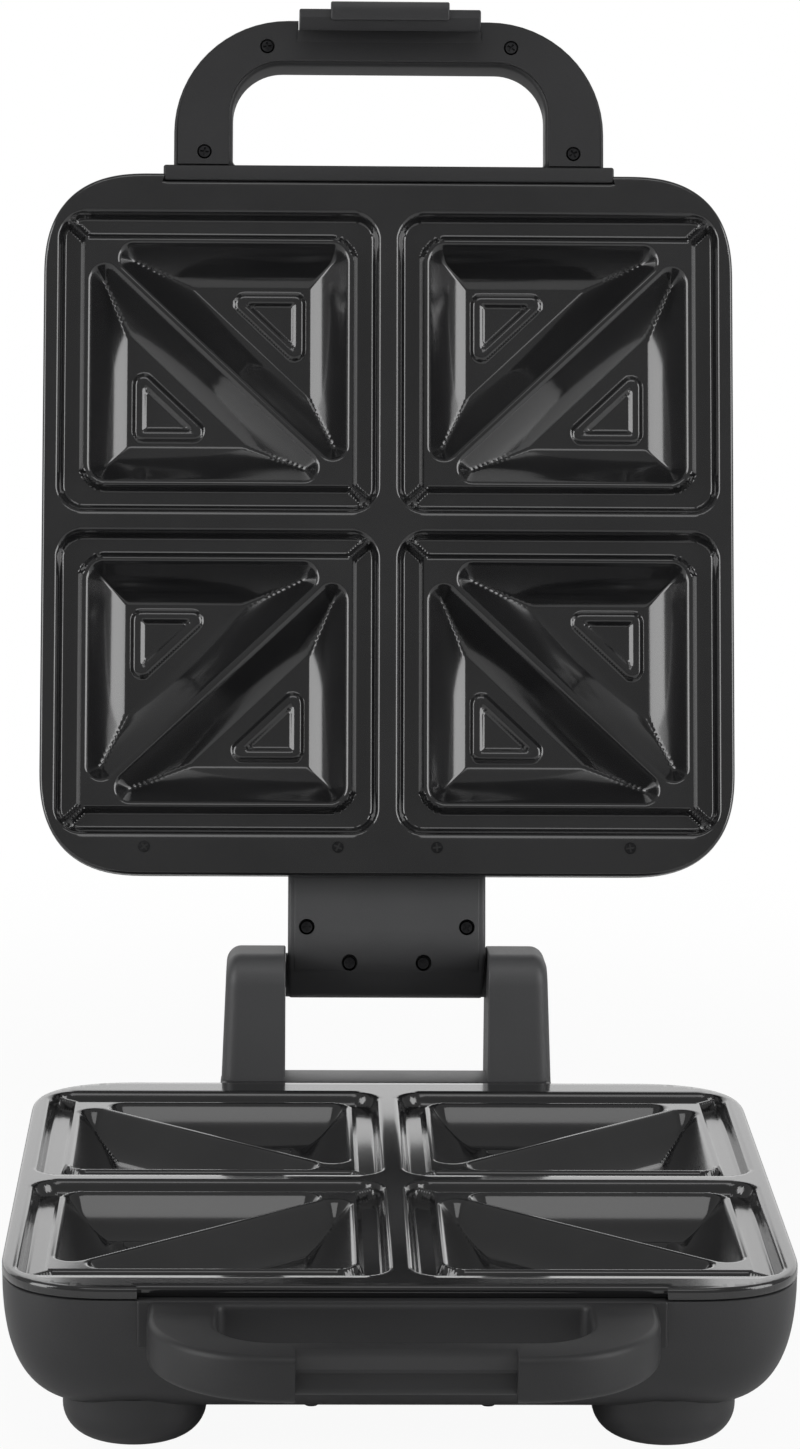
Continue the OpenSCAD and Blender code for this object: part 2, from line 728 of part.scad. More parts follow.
module terminal_block() {
    color([0.9, 0.9, 0.86]) stand() translate([block_x, 8, block_z]) difference() {
        cube([30, 14, 11]);
        for (k = [0:2]) translate([5 + 10 * k, -1, 6]) rotate([-90, 0, 0]) cylinder(r = 2, h = 16);
        for (k = [0:2]) translate([5 + 10 * k, 7, 7]) cylinder(r = 1.8, h = 5);
    }
}

// lead from the terminal block up the left tower to the end of the hollow pin
module base_lead() {
    color([0.55, 0.5, 0.45]) stand() wire([[block_x - 0.8, 15, block_z + 6], [-30, 18, -33],
        [-tower_in - 10.4, 22, -22],
        [-tower_in - 16.4, 24, 4], [-tower_in - 17.4, axis_back - 4, 26], [-tower_in - 17.4, axis_back, axis_up],
        [-pin_out - seat, axis_back, axis_up]], lead_r);
}

// wires from the element's ends to the terminal block
module base_wiring() {
    color([0.6, 0.2, 0.15]) stand() for (k = [0, 1])
        wire([[(2 * k - 1) * element_end_x, -element_rear + 30.3, element_z],
            [(2 * k - 1) * element_end_x, -element_rear + 33, element_z],
            [(2 * k - 1) * element_end_x, -13, -29], [block_x + 5 + 10 * k, 3, block_z + 6.2],
            [block_x + 5 + 10 * k, 10, block_z + 6]], wire_r);
}

module cord_gland() {
    color([0.07, 0.07, 0.07]) stand() translate([gland_x, rear_block, gland_z]) rotate([-90, 0, 0]) difference() {
        union() {
            cylinder(r = gland_r + 2, h = 2);
            translate([0, 0, 1]) cylinder(r1 = gland_r + 0.5, r2 = gland_r - 0.5, h = 10);
            translate([0, 0, -8]) cylinder(r = gland_r, h = 9);
        }
        translate([0, 0, -9]) cylinder(r = 3.6, h = 30);
    }
}

// saddle that grips the cord behind the gland
module cord_clamp() {
    color([0.1, 0.1, 0.1]) stand() translate([gland_x, rear_block - 18, gland_z]) difference() {
        translate([-12, -4, -10.7]) cube([24, 8, 20]);
        rotate([90, 0, 0]) translate([0, 0, -5]) cylinder(r = 3.9, h = 10);
        translate([-13, -5, -0.4]) cube([26, 10, 0.8]);
        for (s = [-1, 1]) translate([s * 8, 0, -9]) cylinder(r = pilot_r, h = 20);
    }
}

module cord_clamp_screws() {
    color(steel) stand() for (s = [-1, 1])
        translate([gland_x + s * 8, rear_block - 18, gland_z + 9.3 + cut]) screw(15);
}

// lower handle: a trough open below, with the step and lip that the latch grips
module base_handle() {
    color(black) stand() difference() {
        union() {
            difference() {
                union() {
                    translate([0, 0, base_low]) linear_extrude(base_handle_t) handle_plan(0, base_root_face - 1);
                    translate([-root_half, -base_root_face, base_low]) cube([2 * root_half, 6, base_handle_t]);
                }
                translate([0, 0, base_low - 1]) linear_extrude(base_handle_t - wall + 1)
                    handle_plan(handle_skin, base_root_face + 1);
            }
            // wall behind the latch's notch, and the posts for the cover's screws
            translate([-notch_half - cheek_t, -tip, base_low + cover_t + seat])
                cube([2 * (notch_half + cheek_t), tip - latch_face + 7, base_handle_t - cover_t - seat - cut]);
            at_handle_screws(base_low + cover_t + 0.2) cylinder(r = 4, h = base_handle_t - cover_t - 1);
        }
        // step, chamfer and the pocket under the lip
        translate([-notch_half, -tip - 1, -far / 2]) cube([2 * notch_half, 1 + tip - latch_face, far]);
        across(-notch_half, notch_half) polygon([[-latch_face - 1, base_top + 1], [-latch_face - 1, base_top - 6],
            [-latch_face, base_top - latch_lip_chamfer], [-latch_face + latch_lip_chamfer, base_top],
            [-latch_face + latch_lip_chamfer, base_top + 1]]);
        translate([-notch_half, -latch_face - 1, -far]) cube([2 * notch_half, 1 + hook_reach + 0.7, far - latch_lip]);
        at_handle_screws(base_low) cylinder(r = pilot_r, h = 10);
    }
}

module base_handle_cover() {
    color(black) stand() difference() {
        translate([0, 0, base_low]) linear_extrude(cover_t) difference() {
            handle_plan(handle_skin + seat, base_root_face + 1 + seat);
            translate([-notch_half - cheek_t, -tip - 1]) square([2 * (notch_half + cheek_t), tip - latch_face + 8.5]);
        }
        at_handle_screws(base_low - 1) cylinder(r = hole_r, h = 6);
    }
}

module base_handle_screws() {
    color(steel) stand() at_handle_screws(base_low - cut) mirror([0, 0, 1]) screw(9);
}

module tower_cover(s) {
    color(black) stand() mirror([s, 0, 0]) difference() {
        translate([tower_in + wall + seat, cap_y, -14.3])
            cube([tower_half - tower_in - 2 * wall - 1.5 - 2 * seat, cap_t, axis_up + 14]);
        for (z = cap_screw_z) translate([cap_x, cap_y - 1, z]) rotate([-90, 0, 0]) cylinder(r = hole_r, h = 6);
    }
}

module tower_cover_screws() {
    color(steel) stand() for (s = [-1, 1]) for (z = cap_screw_z)
        translate([s * cap_x, cap_y + cap_t + cut, z]) rotate([-90, 0, 0]) screw(8);
}

module hinge_bush(s) {
    color([0.75, 0.7, 0.55]) stand() mirror([s, 0, 0]) at_axis() difference() {
        shaft(bush_r, tower_in, tower_in + wall + bush_len);
        shaft(pin_r + run_fit, tower_in - 1, pin_out);
    }
}

// ---- the lid ----

function lid_side(thick) = [
    for (k = [0:skirt_steps])
        let (s = soft(90 * k / skirt_steps, lid_power), rise = lid_top - lid_low - thick)
        [lid_run * (1 - s[0]) + thick, lid_low + rise * s[1]]];

module lid_cover() {
    color(black) swing() {
        difference() {
            loft(lid_side(0));
            translate([0, 0, -cut]) loft(concat([[wall, lid_low - 1]], lid_side(wall)));
            // seat of the upper handle's root bar
            translate([-root_half - 0.2, -plate_l - 2, 0]) cube([2 * root_half + 0.4, 8, lid_gap + lid_handle_t + 0.2]);
            // way out for the hinge arm
            translate([-arm_half - 0.3, -9.5, 0]) cube([2 * arm_half + 0.6, 17, arm_top + 1.2]);
            for (s = [-1, 1]) translate([s * lens_x, -lens_u, 0]) cylinder(r = lens_r + 0.1, h = far);
        }
        // bosses for the outer pair of plate screws
        for (s = [-1, 1]) translate([s * plate_screw_x[1], -plate_screw_u, lid_low]) difference() {
            union() {
                cylinder(r = 3.1, h = 16);
                translate([-1.5, 0, 0]) cube([3, plate_screw_u - 1.5, 16]);
            }
            translate([0, 0, -1]) cylinder(r = pilot_r, h = 12);
        }
    }
}

module at_plate_screws(z) {
    for (s = [-1, 1]) for (x = plate_screw_x) translate([s * x, -plate_screw_u, z]) children();
}

module lid_plate() {
    color(coat) swing() difference() {
        translate([0, 0, lid_gap]) mirror([0, 0, 1]) cooking_plate(lid_reflector_z);
        at_plate_screws(-1) cylinder(r = hole_r, h = 12);
        at_plate_screws(lid_gap - 1) cylinder(r = head_r + 0.2, h = 1 + head_h);
    }
}

module lid_plate_screws() {
    color(steel) swing() at_plate_screws(lid_gap + head_h - cut) mirror([0, 0, 1]) screw(10);
}

module lid_element() {
    color([0.35, 0.34, 0.33]) swing() translate([0, 0, lid_gap]) mirror([0, 0, 1]) element(element_z);
}

module lid_element_clamps() {
    color(steel) swing() translate([0, 0, lid_gap]) mirror([0, 0, 1]) clamps(element_z);
}

module lid_reflector() {
    color([0.8, 0.8, 0.8]) swing() translate([0, 0, lid_gap]) mirror([0, 0, 1]) reflector(lid_reflector_z, 2);
}

// lead from inside the hollow pin through the hinge arm to the element's ends
module lid_lead() {
    z = lid_gap - element_z;
    color([0.55, 0.5, 0.45]) swing() {
        wire([[-pin_out, axis_back, axis_up], [-25, axis_back, axis_up - 0.1], [-21, 31, 29], [-19, 20, 22.5],
            [-16, 2, z]], lead_r);
        for (s = [-1, 1]) wire([[-16 + s * 1.4, -0.9, z], [s * element_end_x, -16, z],
            [s * element_end_x, -element_rear + 30.3, z]], wire_r);
    }
}

// upper handle: outer shell, root bar and the notch that holds the latch
module lid_handle() {
    low = lid_gap + 2.4;
    high = lid_gap + lid_handle_t;
    color(black) swing() difference() {
        union() {
            difference() {
                union() {
                    translate([0, 0, low]) linear_extrude(high - low) handle_plan(0, root_face - 1);
                    translate([-root_half, -root_face, lid_gap + 0.3])
                        cube([2 * root_half, 3.2 + notch_d, lid_handle_t - 1]);
                }
                translate([0, 0, low - 1]) linear_extrude(high - low - wall + 1)
                    handle_plan(handle_skin + 1, root_face + 0.5);
            }
            translate([-notch_half - cheek_t, -tip + 2.2, low])
                cube([2 * (notch_half + cheek_t), 14, high - low - 1]);
            at_handle_screws(low) cylinder(r = 4, h = high - low - 1);
        }
        translate([-notch_half, -tip - 1, -far / 2]) cube([2 * notch_half, tip - pivot_u + latch_barrel + 1.5,
            far / 2 + pivot_z + latch_barrel + 0.6]);
        translate([0, -pivot_u, pivot_z]) shaft(latch_pin_r + 0.02, -notch_half - cheek_t + 0.5, notch_half + cheek_t - 0.5);
        at_handle_screws(low - 1) cylinder(r = pilot_r, h = 12);
        // the arms' seat for the inner cover
        translate([0, 0, low - 5]) linear_extrude(5 + 1.2) handle_plan(1.2, root_face);
    }
}

module lid_handle_cover() {
    low = lid_gap + 0.2;
    color(black) swing() difference() {
        translate([0, 0, low]) linear_extrude(3.2) difference() {
            handle_plan(1.5, root_face + seat);
            translate([-notch_half - 0.5, -tip - 1]) square([2 * notch_half + 1, tip - pivot_u + latch_barrel + 3]);
        }
        at_handle_screws(low - 1) cylinder(r = hole_r, h = 8);
        at_handle_screws(low - 1) cylinder(r = head_r + 0.3, h = 2.9);
    }
}

module lid_handle_screws() {
    color(steel) swing() at_handle_screws(lid_gap + 2.1 - cut) mirror([0, 0, 1]) screw(9);
}

// side view of the hinge arm: flat face, round heel and barrel, drawn in by inset
module arm_profile(inset) {
    heel = [arm_run, arm_face + arm_round];
    d = [axis_back - heel[0], axis_up - heel[1]];
    turn = atan2(d[1], d[0]) - acos((arm_round - barrel_r) / norm(d));
    back = [axis_back + wall + 1, axis_up - arm_top];
    crest = atan2(back[1], back[0]) + asin(barrel_r / norm(back)) + 90;
    polygon(concat(
        [[-wall - 1, arm_top - inset], [-wall - 1, arm_face + inset]],
        [for (k = [0:8]) let (a = -90 + (turn + 90) * k / 8) heel + (arm_round - inset) * [cos(a), sin(a)]],
        [for (k = [0:12]) let (a = turn + (crest - turn) * k / 12)
            [axis_back, axis_up] + (barrel_r - inset) * [cos(a), sin(a)]]));
}

// arm's inner cover: the lower skin between the side walls, up to the barrel
module arm_skin_region() {
    polygon([[0.4, arm_face - 2], [axis_back + 6, arm_face - 2], [axis_back + 2, axis_up - 4],
        [axis_back - 10, axis_up - 6], [0.4, arm_face + 8]]);
}

module hinge_arm_outer() {
    inner_x = arm_half - arm_skin;
    color([0.16, 0.16, 0.17]) swing() difference() {
        union() {
            difference() {
                across(-arm_half, arm_half) arm_profile(0);
                across(-inner_x, inner_x) arm_profile(arm_skin);
                across(-inner_x, inner_x) arm_skin_region();
            }
            for (s = [0, 1]) mirror([s, 0, 0]) at_axis() shaft(hub_r, pin_in - 0.5, barrel_half);
            for (s = [-1, 1]) for (p = arm_screws) translate([s * p[0], p[1], p[1] > arm_run ? 22 : 16])
                cylinder(r = 3.4, h = p[1] > arm_run ? 19 : 20.5);
            // tongue that the plate is screwed to
            translate([-28, tongue_y, lid_low]) cube([56, -tongue_y - 3, 5]);
            translate([-28, -wall - 1.5, lid_low]) cube([56, 4, arm_face + 1 - lid_low + 2]);
            translate([-inner_x, -wall - 1.5, arm_face + 0.2]) cube([2 * inner_x, 3, 6]);
        }
        at_axis() shaft(pin_r + 0.02, -far / 2, far / 2);
        at_plate_screws(-1) cylinder(r = pilot_r, h = 14);
        for (s = [-1, 1]) for (p = arm_screws) translate([s * p[0], p[1], p[1] > arm_run ? 21 : 15])
            cylinder(r = pilot_r, h = 10);
    }
}

module hinge_arm_inner() {
    inner_x = arm_half - arm_skin - 0.15;
    color([0.16, 0.16, 0.17]) swing() difference() {
        union() {
            intersection() {
                difference() {
                    across(-inner_x, inner_x) arm_profile(0);
                    across(-far / 2, far / 2) arm_profile(arm_skin - 0.2);
                }
                across(-far / 2, far / 2) arm_skin_region();
            }
            for (s = [-1, 1]) for (p = arm_screws)
                translate([s * p[0], p[1], p[1] > arm_run ? 16.6 : arm_face + 1])
                    cylinder(r = 4.2, h = p[1] > arm_run ? 5 : 4.7);
        }
        for (s = [-1, 1]) for (p = arm_screws) translate([s * p[0], p[1], 0]) {
            cylinder(r = hole_r, h = 30);
            cylinder(r = head_r + 0.4, h = p[1] > arm_run ? 19.8 : arm_face + 4.2);
        }
        for (s = [0, 1]) mirror([s, 0, 0]) at_axis() shaft(hub_r + 0.2, pin_in - 0.7, barrel_half);
    }
}

module hinge_arm_screws() {
    color(steel) swing() for (s = [-1, 1]) for (p = arm_screws)
        translate([s * p[0], p[1], p[1] > arm_run ? 19.8 - cut : arm_face + 4.2 - cut])
            mirror([0, 0, 1]) screw(9);
}

// hollow pin, fixed in the arm; its key meets the stop in the tower
module hinge_pin(s) {
    color(steel) swing() mirror([s, 0, 0]) at_axis() difference() {
        union() {
            shaft(pin_r, pin_in, pin_out + key_t);
            rotate([open_angle, 0, 0]) translate([pin_out + 0.3, -1.5, key_root]) cube([key_t - 0.6, 3, key_r - key_root]);
        }
        shaft(pin_bore, pin_in - 1, pin_out + key_t + 1);
    }
}

module lens(s, tint) {
    color(tint) swing() translate([s * lens_x, -lens_u, 0]) {
        translate([0, 0, lid_top - wall - 2]) cylinder(r = lens_r, h = wall + 2.8);
        translate([0, 0, lid_top - wall - 2]) cylinder(r = lens_r + 1, h = 1.6);
    }
}

module lamp(s) {
    color([0.9, 0.6, 0.4]) swing() translate([s * lens_x, -lens_u, lid_top - wall - 2 - seat - 2.2])
        rotate([-90, 0, 0]) translate([0, 0, -4]) {
            cylinder(r = 2.2, h = 9);
            translate([0, 0, 9]) cylinder(r = 0.8, h = 6);
        }
}

// ---- the latch ----

module latch() {
    w = latch_half;
    color(black) swing() difference() {
        union() {
            translate([0, -pivot_u, pivot_z]) shaft(latch_barrel, -w, w);
            translate([-w, -hook_face - hook_t, latch_low]) cube([2 * w, hook_t, pivot_z - latch_low]);
            across(-w, w) polygon([[-hook_face - cut, hook_top], [-hook_face + hook_reach, hook_top - 0.6],
                [-hook_face + hook_reach, hook_top - 2], [-hook_face - cut, latch_low]]);
            across(-tab_half, tab_half) polygon([[-hook_face - hook_t + cut, latch_low],
                [-hook_face - hook_t + cut, latch_low + 14], [-hook_face - hook_t - 0.8, latch_low + 12],
                [-hook_face - hook_t - tab_reach, latch_low + 2], [-hook_face - hook_t - tab_reach, latch_low - 1],
                [-hook_face - hook_t - 1, latch_low - 1]]);
        }
        translate([0, -pivot_u, pivot_z]) shaft(latch_pin_r + run_fit, -far / 2, far / 2);
        // window for the spring
        translate([-5, -pivot_u - 2.9, pivot_z - 4]) cube([10, 10, 10]);
    }
}

module latch_pin() {
    color(steel) swing() translate([0, -pivot_u, pivot_z])
        shaft(latch_pin_r, -notch_half - cheek_t + 1, notch_half + cheek_t - 1);
}

// wound round the pin; one leg bears on the notch, the other on the latch
module latch_spring() {
    color(steel) swing() translate([0, -pivot_u, pivot_z]) {
        rotate([0, 90, 0]) rotate_extrude($fn = 32) for (k = [-2:2])
            translate([2.2, k * 0.85]) circle(r = 0.5, $fn = 16);
        translate([0, 2.2, 0]) cylinder(r = 0.45, h = 4, $fn = 16);
    }
}

base_housing();
bottom_pan();
pan_screws();
foot(-1, plate_l - foot_inset);  // foot_front_left
foot(1, plate_l - foot_inset);  // foot_front_right
foot(-1, foot_inset);  // foot_rear_left
foot(1, foot_inset);  // foot_rear_right
pad(-1, plate_l - foot_inset);  // pad_front_left
pad(1, plate_l - foot_inset);  // pad_front_right
pad(-1, foot_inset);  // pad_rear_left
pad(1, foot_inset);  // pad_rear_right
foot_screws();
base_plate();
base_plate_screws();
base_element();
base_element_clamps();
base_reflector();
thermostat();
thermal_fuse();
terminal_block();
base_lead();
base_wiring();
cord_gland();
cord_clamp();
cord_clamp_screws();
base_handle();
base_handle_cover();
base_handle_screws();
tower_cover(1);  // tower_cover_left
tower_cover(0);  // tower_cover_right
tower_cover_screws();
hinge_bush(1);  // hinge_bush_left
hinge_bush(0);  // hinge_bush_right
lid_cover();
lid_plate();
lid_plate_screws();
lid_element();
lid_element_clamps();
lid_reflector();
lid_lead();
lid_handle();
lid_handle_cover();
lid_handle_screws();
hinge_arm_outer();
hinge_arm_inner();
hinge_arm_screws();
hinge_pin(1);  // hinge_pin_left
hinge_pin(0);  // hinge_pin_right
lens(-1, [0.7, 0.1, 0.08]);  // power_lens
lens(1, [0.1, 0.55, 0.2]);  // ready_lens
lamp(-1);  // power_lamp
lamp(1);  // ready_lamp
latch();
latch_pin();
latch_spring();
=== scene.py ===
import bpy
import bmesh
import math
from mathutils import Matrix, Vector


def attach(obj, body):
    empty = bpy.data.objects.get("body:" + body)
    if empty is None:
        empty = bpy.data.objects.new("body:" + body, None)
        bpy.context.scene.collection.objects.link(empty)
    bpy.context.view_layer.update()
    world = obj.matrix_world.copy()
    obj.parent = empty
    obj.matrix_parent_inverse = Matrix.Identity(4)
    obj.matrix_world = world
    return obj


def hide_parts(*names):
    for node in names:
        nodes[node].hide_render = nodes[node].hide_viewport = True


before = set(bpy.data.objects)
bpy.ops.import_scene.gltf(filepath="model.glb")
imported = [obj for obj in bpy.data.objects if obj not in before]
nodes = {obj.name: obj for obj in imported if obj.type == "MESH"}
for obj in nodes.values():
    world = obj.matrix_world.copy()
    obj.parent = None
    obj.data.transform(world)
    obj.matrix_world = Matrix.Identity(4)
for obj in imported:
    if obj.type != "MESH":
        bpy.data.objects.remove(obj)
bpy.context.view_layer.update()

print("frame loaded:", len(nodes), "nodes")

# sizes that several pieces share, in millimetres: X across, Y 0 at the plates' rear edge, Z 0 at the lower rim
toaster = {
    "rimHeight": 62.0, "openAngle": 106.0, "lidGap": 0.8,
    "plateWidth": 270.0, "plateLength": 276.0, "plateCorner": 42.0, "cornerPower": 2.6,
    "axisBack": 36.8, "axisUp": 34.0, "tip": 338.0, "lidHandleTop": 22.8,
}
lean = math.radians(toaster["openAngle"] - 90)
rearReach = (toaster["axisBack"] + (toaster["tip"] + toaster["axisBack"]) * math.sin(lean)
             + (toaster["lidHandleTop"] - toaster["axisUp"]) * math.cos(lean))
frameY = (toaster["tip"] - rearReach) / 2

standMatrix = Matrix.Scale(0.001, 4) @ Matrix.Translation((0, frameY, toaster["rimHeight"]))
hingeShift = Matrix.Translation((0, toaster["axisBack"], toaster["axisUp"]))
lidMatrix = (standMatrix @ hingeShift @ Matrix.Rotation(-math.radians(toaster["openAngle"]), 4, "X")
             @ hingeShift.inverted())


def addObject(name, data):
    made = bpy.data.objects.new(name, data)
    bpy.context.scene.collection.objects.link(made)
    return made


# camera: found by fitting the plates' corners, in millimetres and degrees
view = {"x": -39.985, "y": -1852.94, "z": 473.51, "down": 10.181, "turn": -1.36, "roll": 0.491,
        "lens": 122.51, "sensor": 36.0}


def makeCamera():
    data = bpy.data.cameras.new("photoCamera")
    data.sensor_fit, data.sensor_width, data.lens = "AUTO", view["sensor"], view["lens"]
    data.clip_start, data.clip_end = 0.1, 50
    cam = addObject("photoCamera", data)
    turn, down, roll = (math.radians(view[k]) for k in ("turn", "down", "roll"))
    ahead = Vector((-math.sin(turn) * math.cos(down), math.cos(turn) * math.cos(down), -math.sin(down)))
    right = Vector((math.cos(turn), math.sin(turn), 0))
    up = right.cross(ahead)
    rolledRight = right * math.cos(roll) + up * math.sin(roll)
    rolledUp = up * math.cos(roll) - right * math.sin(roll)
    basis = Matrix((rolledRight, rolledUp, -ahead)).transposed().to_4x4()
    spot = standMatrix @ Vector((view["x"], view["y"], view["z"]))
    cam.matrix_world = Matrix.Translation(spot) @ basis
    bpy.context.scene.camera = cam


makeCamera()
print("camera placed")


def selfFirst(operation):
    return lambda self, other: self.graph.math(operation, self, other)


def selfLast(operation):
    return lambda self, other: self.graph.math(operation, other, self)


def selfOnly(operation):
    return lambda self: self.graph.math(operation, self)


# a socket that can be used in Python expressions
class Wire:
    def __init__(self, graph, socket):
        self.graph, self.socket = graph, socket

    __add__, __radd__ = selfFirst("ADD"), selfLast("ADD")
    __sub__, __rsub__ = selfFirst("SUBTRACT"), selfLast("SUBTRACT")
    __mul__, __rmul__ = selfFirst("MULTIPLY"), selfLast("MULTIPLY")
    __truediv__, __rtruediv__ = selfFirst("DIVIDE"), selfLast("DIVIDE")
    __pow__, __gt__, __lt__ = selfFirst("POWER"), selfFirst("GREATER_THAN"), selfFirst("LESS_THAN")
    atMost, atLeast = selfFirst("MINIMUM"), selfFirst("MAXIMUM")
    __abs__, sign, root = selfOnly("ABSOLUTE"), selfOnly("SIGN"), selfOnly("SQRT")

    def rise(self, start, end):  # 0 before start, 1 after end, smooth between
        return self.graph.wire("ShaderNodeMapRange", {"interpolation_type": "SMOOTHSTEP"},
                               {"Value": self, "From Min": start, "From Max": end})


class Graph:
    def __init__(self, tree):
        self.tree = tree
        self.count = 0

    def node(self, kind, settings=None, values=None):
        made = self.tree.nodes.new(kind)
        made.location = (220 * (self.count % 12), -260 * (self.count // 12))
        self.count += 1
        for key, value in (settings or {}).items():
            setattr(made, key, value)
        for key, value in (values or {}).items():
            if isinstance(value, Wire):
                self.tree.links.new(value.socket, made.inputs[key])
            else:
                made.inputs[key].default_value = value
        return made

    def wire(self, kind, settings=None, values=None, output=0):
        return Wire(self, self.node(kind, settings, values).outputs[output])

    def math(self, operation, *terms):
        return self.wire("ShaderNodeMath", {"operation": operation}, dict(enumerate(terms)))

    def vector(self, operation, *terms):
        return self.wire("ShaderNodeVectorMath", {"operation": operation}, dict(enumerate(terms)))

    def parts(self, vector):
        split = self.node("ShaderNodeSeparateXYZ", None, {0: vector})
        return [Wire(self, split.outputs[k]) for k in range(3)]

    def join(self, x, y, z):
        return self.wire("ShaderNodeCombineXYZ", None, {0: x, 1: y, 2: z})


def emptyTree(owner):
    owner.use_nodes = True
    owner.node_tree.nodes.clear()
    return Graph(owner.node_tree)


materials = {}


def startMaterial(name, settings):
    material = bpy.data.materials.new(name)
    graph = emptyTree(material)
    shader = graph.node("ShaderNodeBsdfPrincipled", None, settings)
    out = graph.node("ShaderNodeOutputMaterial")
    graph.tree.links.new(shader.outputs[0], out.inputs[0])
    place = graph.wire("ShaderNodeTexCoord", None, None, 3)
    materials[name] = material
    return graph, shader, place


def feed(graph, shader, key, wire):
    graph.tree.links.new(wire.socket, shader.inputs[key])


def noise(graph, place, scale, detail=2.0, rough=0.5):
    return graph.wire("ShaderNodeTexNoise", None,
                      {"Vector": place, "Scale": scale, "Detail": detail, "Roughness": rough})


def tint(graph, amount, first, second):
    return graph.wire("ShaderNodeMix", {"data_type": "RGBA"}, {0: amount, 6: first, 7: second}, 2)


def bump(graph, height, depth, strength=1.0):
    return graph.wire("ShaderNodeBump", None, {"Height": height, "Distance": depth, "Strength": strength})


def rgb(r, g, b):
    return (r, g, b, 1.0)


def mouldedPlastic(name, look):
    graph, shader, place = startMaterial(name, {"IOR": look["ior"], "Metallic": 0.0})
    grain = noise(graph, place, look["grainScale"], 3.0, 0.6)
    cloud = noise(graph, place, 14.0, 3.0, 0.55)
    smear = noise(graph, place, 55.0, 4.0, 0.6)
    mix = (cloud * 0.6 + grain * 0.4).rise(0.3, 0.7)
    feed(graph, shader, "Base Color", tint(graph, mix, look["dark"], look["light"]))
    feed(graph, shader, "Roughness", look["rough"] + (smear - 0.5) * look["roughSpread"] + (grain - 0.5) * 0.06)
    feed(graph, shader, "Normal", bump(graph, grain, look["grainDepth"]))


mouldedPlastic("blackMoulding", {
    "dark": rgb(0.033, 0.033, 0.0345), "light": rgb(0.045, 0.045, 0.047), "ior": 1.5,
    "rough": 0.36, "roughSpread": 0.10, "grainScale": 2200.0, "grainDepth": 0.00004})
mouldedPlastic("gripMoulding", {
    "dark": rgb(0.0245, 0.0245, 0.0255), "light": rgb(0.034, 0.034, 0.0355), "ior": 1.46,
    "rough": 0.46, "roughSpread": 0.10, "grainScale": 2200.0, "grainDepth": 0.00004})
mouldedPlastic("satinMoulding", {
    "dark": rgb(0.070, 0.0705, 0.073), "light": rgb(0.088, 0.0885, 0.091), "ior": 1.5,
    "rough": 0.44, "roughSpread": 0.08, "grainScale": 2600.0, "grainDepth": 0.00005})
mouldedPlastic("paleNylon", {
    "dark": rgb(0.56, 0.52, 0.42), "light": rgb(0.66, 0.62, 0.52), "ior": 1.52,
    "rough": 0.42, "roughSpread": 0.10, "grainScale": 1800.0, "grainDepth": 0.00003})


def nonStickCoat():
    graph, shader, place = startMaterial("nonStickCoat", {
        "IOR": 1.32, "Metallic": 0.0, "Coat Weight": 1.0, "Coat IOR": 1.7, "Coat Roughness": 0.10})
    peel = noise(graph, place, 850.0, 2.0, 0.5)
    fine = noise(graph, place, 3800.0, 2.0, 0.6)
    cloud = noise(graph, place, 22.0, 4.0, 0.6)
    fleck = graph.wire("ShaderNodeTexVoronoi", {"feature": "F1"}, {"Vector": place, "Scale": 1500.0})
    spark = 1 - fleck.rise(0.06, 0.16)
    body = tint(graph, cloud.rise(0.3, 0.7), rgb(0.0085, 0.0085, 0.0092), rgb(0.0135, 0.0135, 0.0142))
    feed(graph, shader, "Base Color", tint(graph, spark * 0.35, body, rgb(0.07, 0.07, 0.072)))
    feed(graph, shader, "Roughness", 0.19 + (cloud - 0.5) * 0.07 + (fine - 0.5) * 0.06)
    feed(graph, shader, "Normal", bump(graph, peel * 0.7 + fine * 0.3, 0.00002))


nonStickCoat()


def turnedSteel(name, look):
    graph, shader, place = startMaterial(name, {"Metallic": 1.0})
    streakPlace = graph.vector("MULTIPLY", place, look["stretch"])
    streak = noise(graph, streakPlace, look["scale"], 4.0, 0.6)
    stain = noise(graph, place, 160.0, 4.0, 0.6)
    feed(graph, shader, "Base Color", tint(graph, (streak * 0.5 + stain * 0.5).rise(0.3, 0.7),
                                           look["dark"], look["light"]))
    feed(graph, shader, "Roughness", look["rough"] + (streak - 0.5) * 0.14 + (stain - 0.5) * 0.12)
    feed(graph, shader, "Normal", bump(graph, streak, 0.00002))


turnedSteel("zincSteel", {"dark": rgb(0.40, 0.40, 0.39), "light": rgb(0.62, 0.62, 0.61), "rough": 0.30,
                          "stretch": (1, 1, 4), "scale": 1500.0})
turnedSteel("blackSteel", {"dark": rgb(0.030, 0.030, 0.032), "light": rgb(0.075, 0.075, 0.078), "rough": 0.34,
                           "stretch": (1, 1, 4), "scale": 1500.0})
turnedSteel("heaterSheath", {"dark": rgb(0.10, 0.085, 0.075), "light": rgb(0.24, 0.21, 0.19), "rough": 0.48,
                             "stretch": (1, 1, 1), "scale": 400.0})
turnedSteel("rolledAluminium", {"dark": rgb(0.62, 0.63, 0.64), "light": rgb(0.80, 0.80, 0.81), "rough": 0.34,
                                "stretch": (1, 30, 1), "scale": 220.0})


def softRubber():
    graph, shader, place = startMaterial("softRubber", {"IOR": 1.5, "Metallic": 0.0})
    grain = noise(graph, place, 1400.0, 4.0, 0.65)
    dust = noise(graph, place, 60.0, 4.0, 0.6)
    feed(graph, shader, "Base Color", tint(graph, dust.rise(0.35, 0.75), rgb(0.012, 0.012, 0.012),
                                           rgb(0.026, 0.0255, 0.025)))
    feed(graph, shader, "Roughness", 0.72 + (grain - 0.5) * 0.16)
    feed(graph, shader, "Normal", bump(graph, grain, 0.00006))


softRubber()


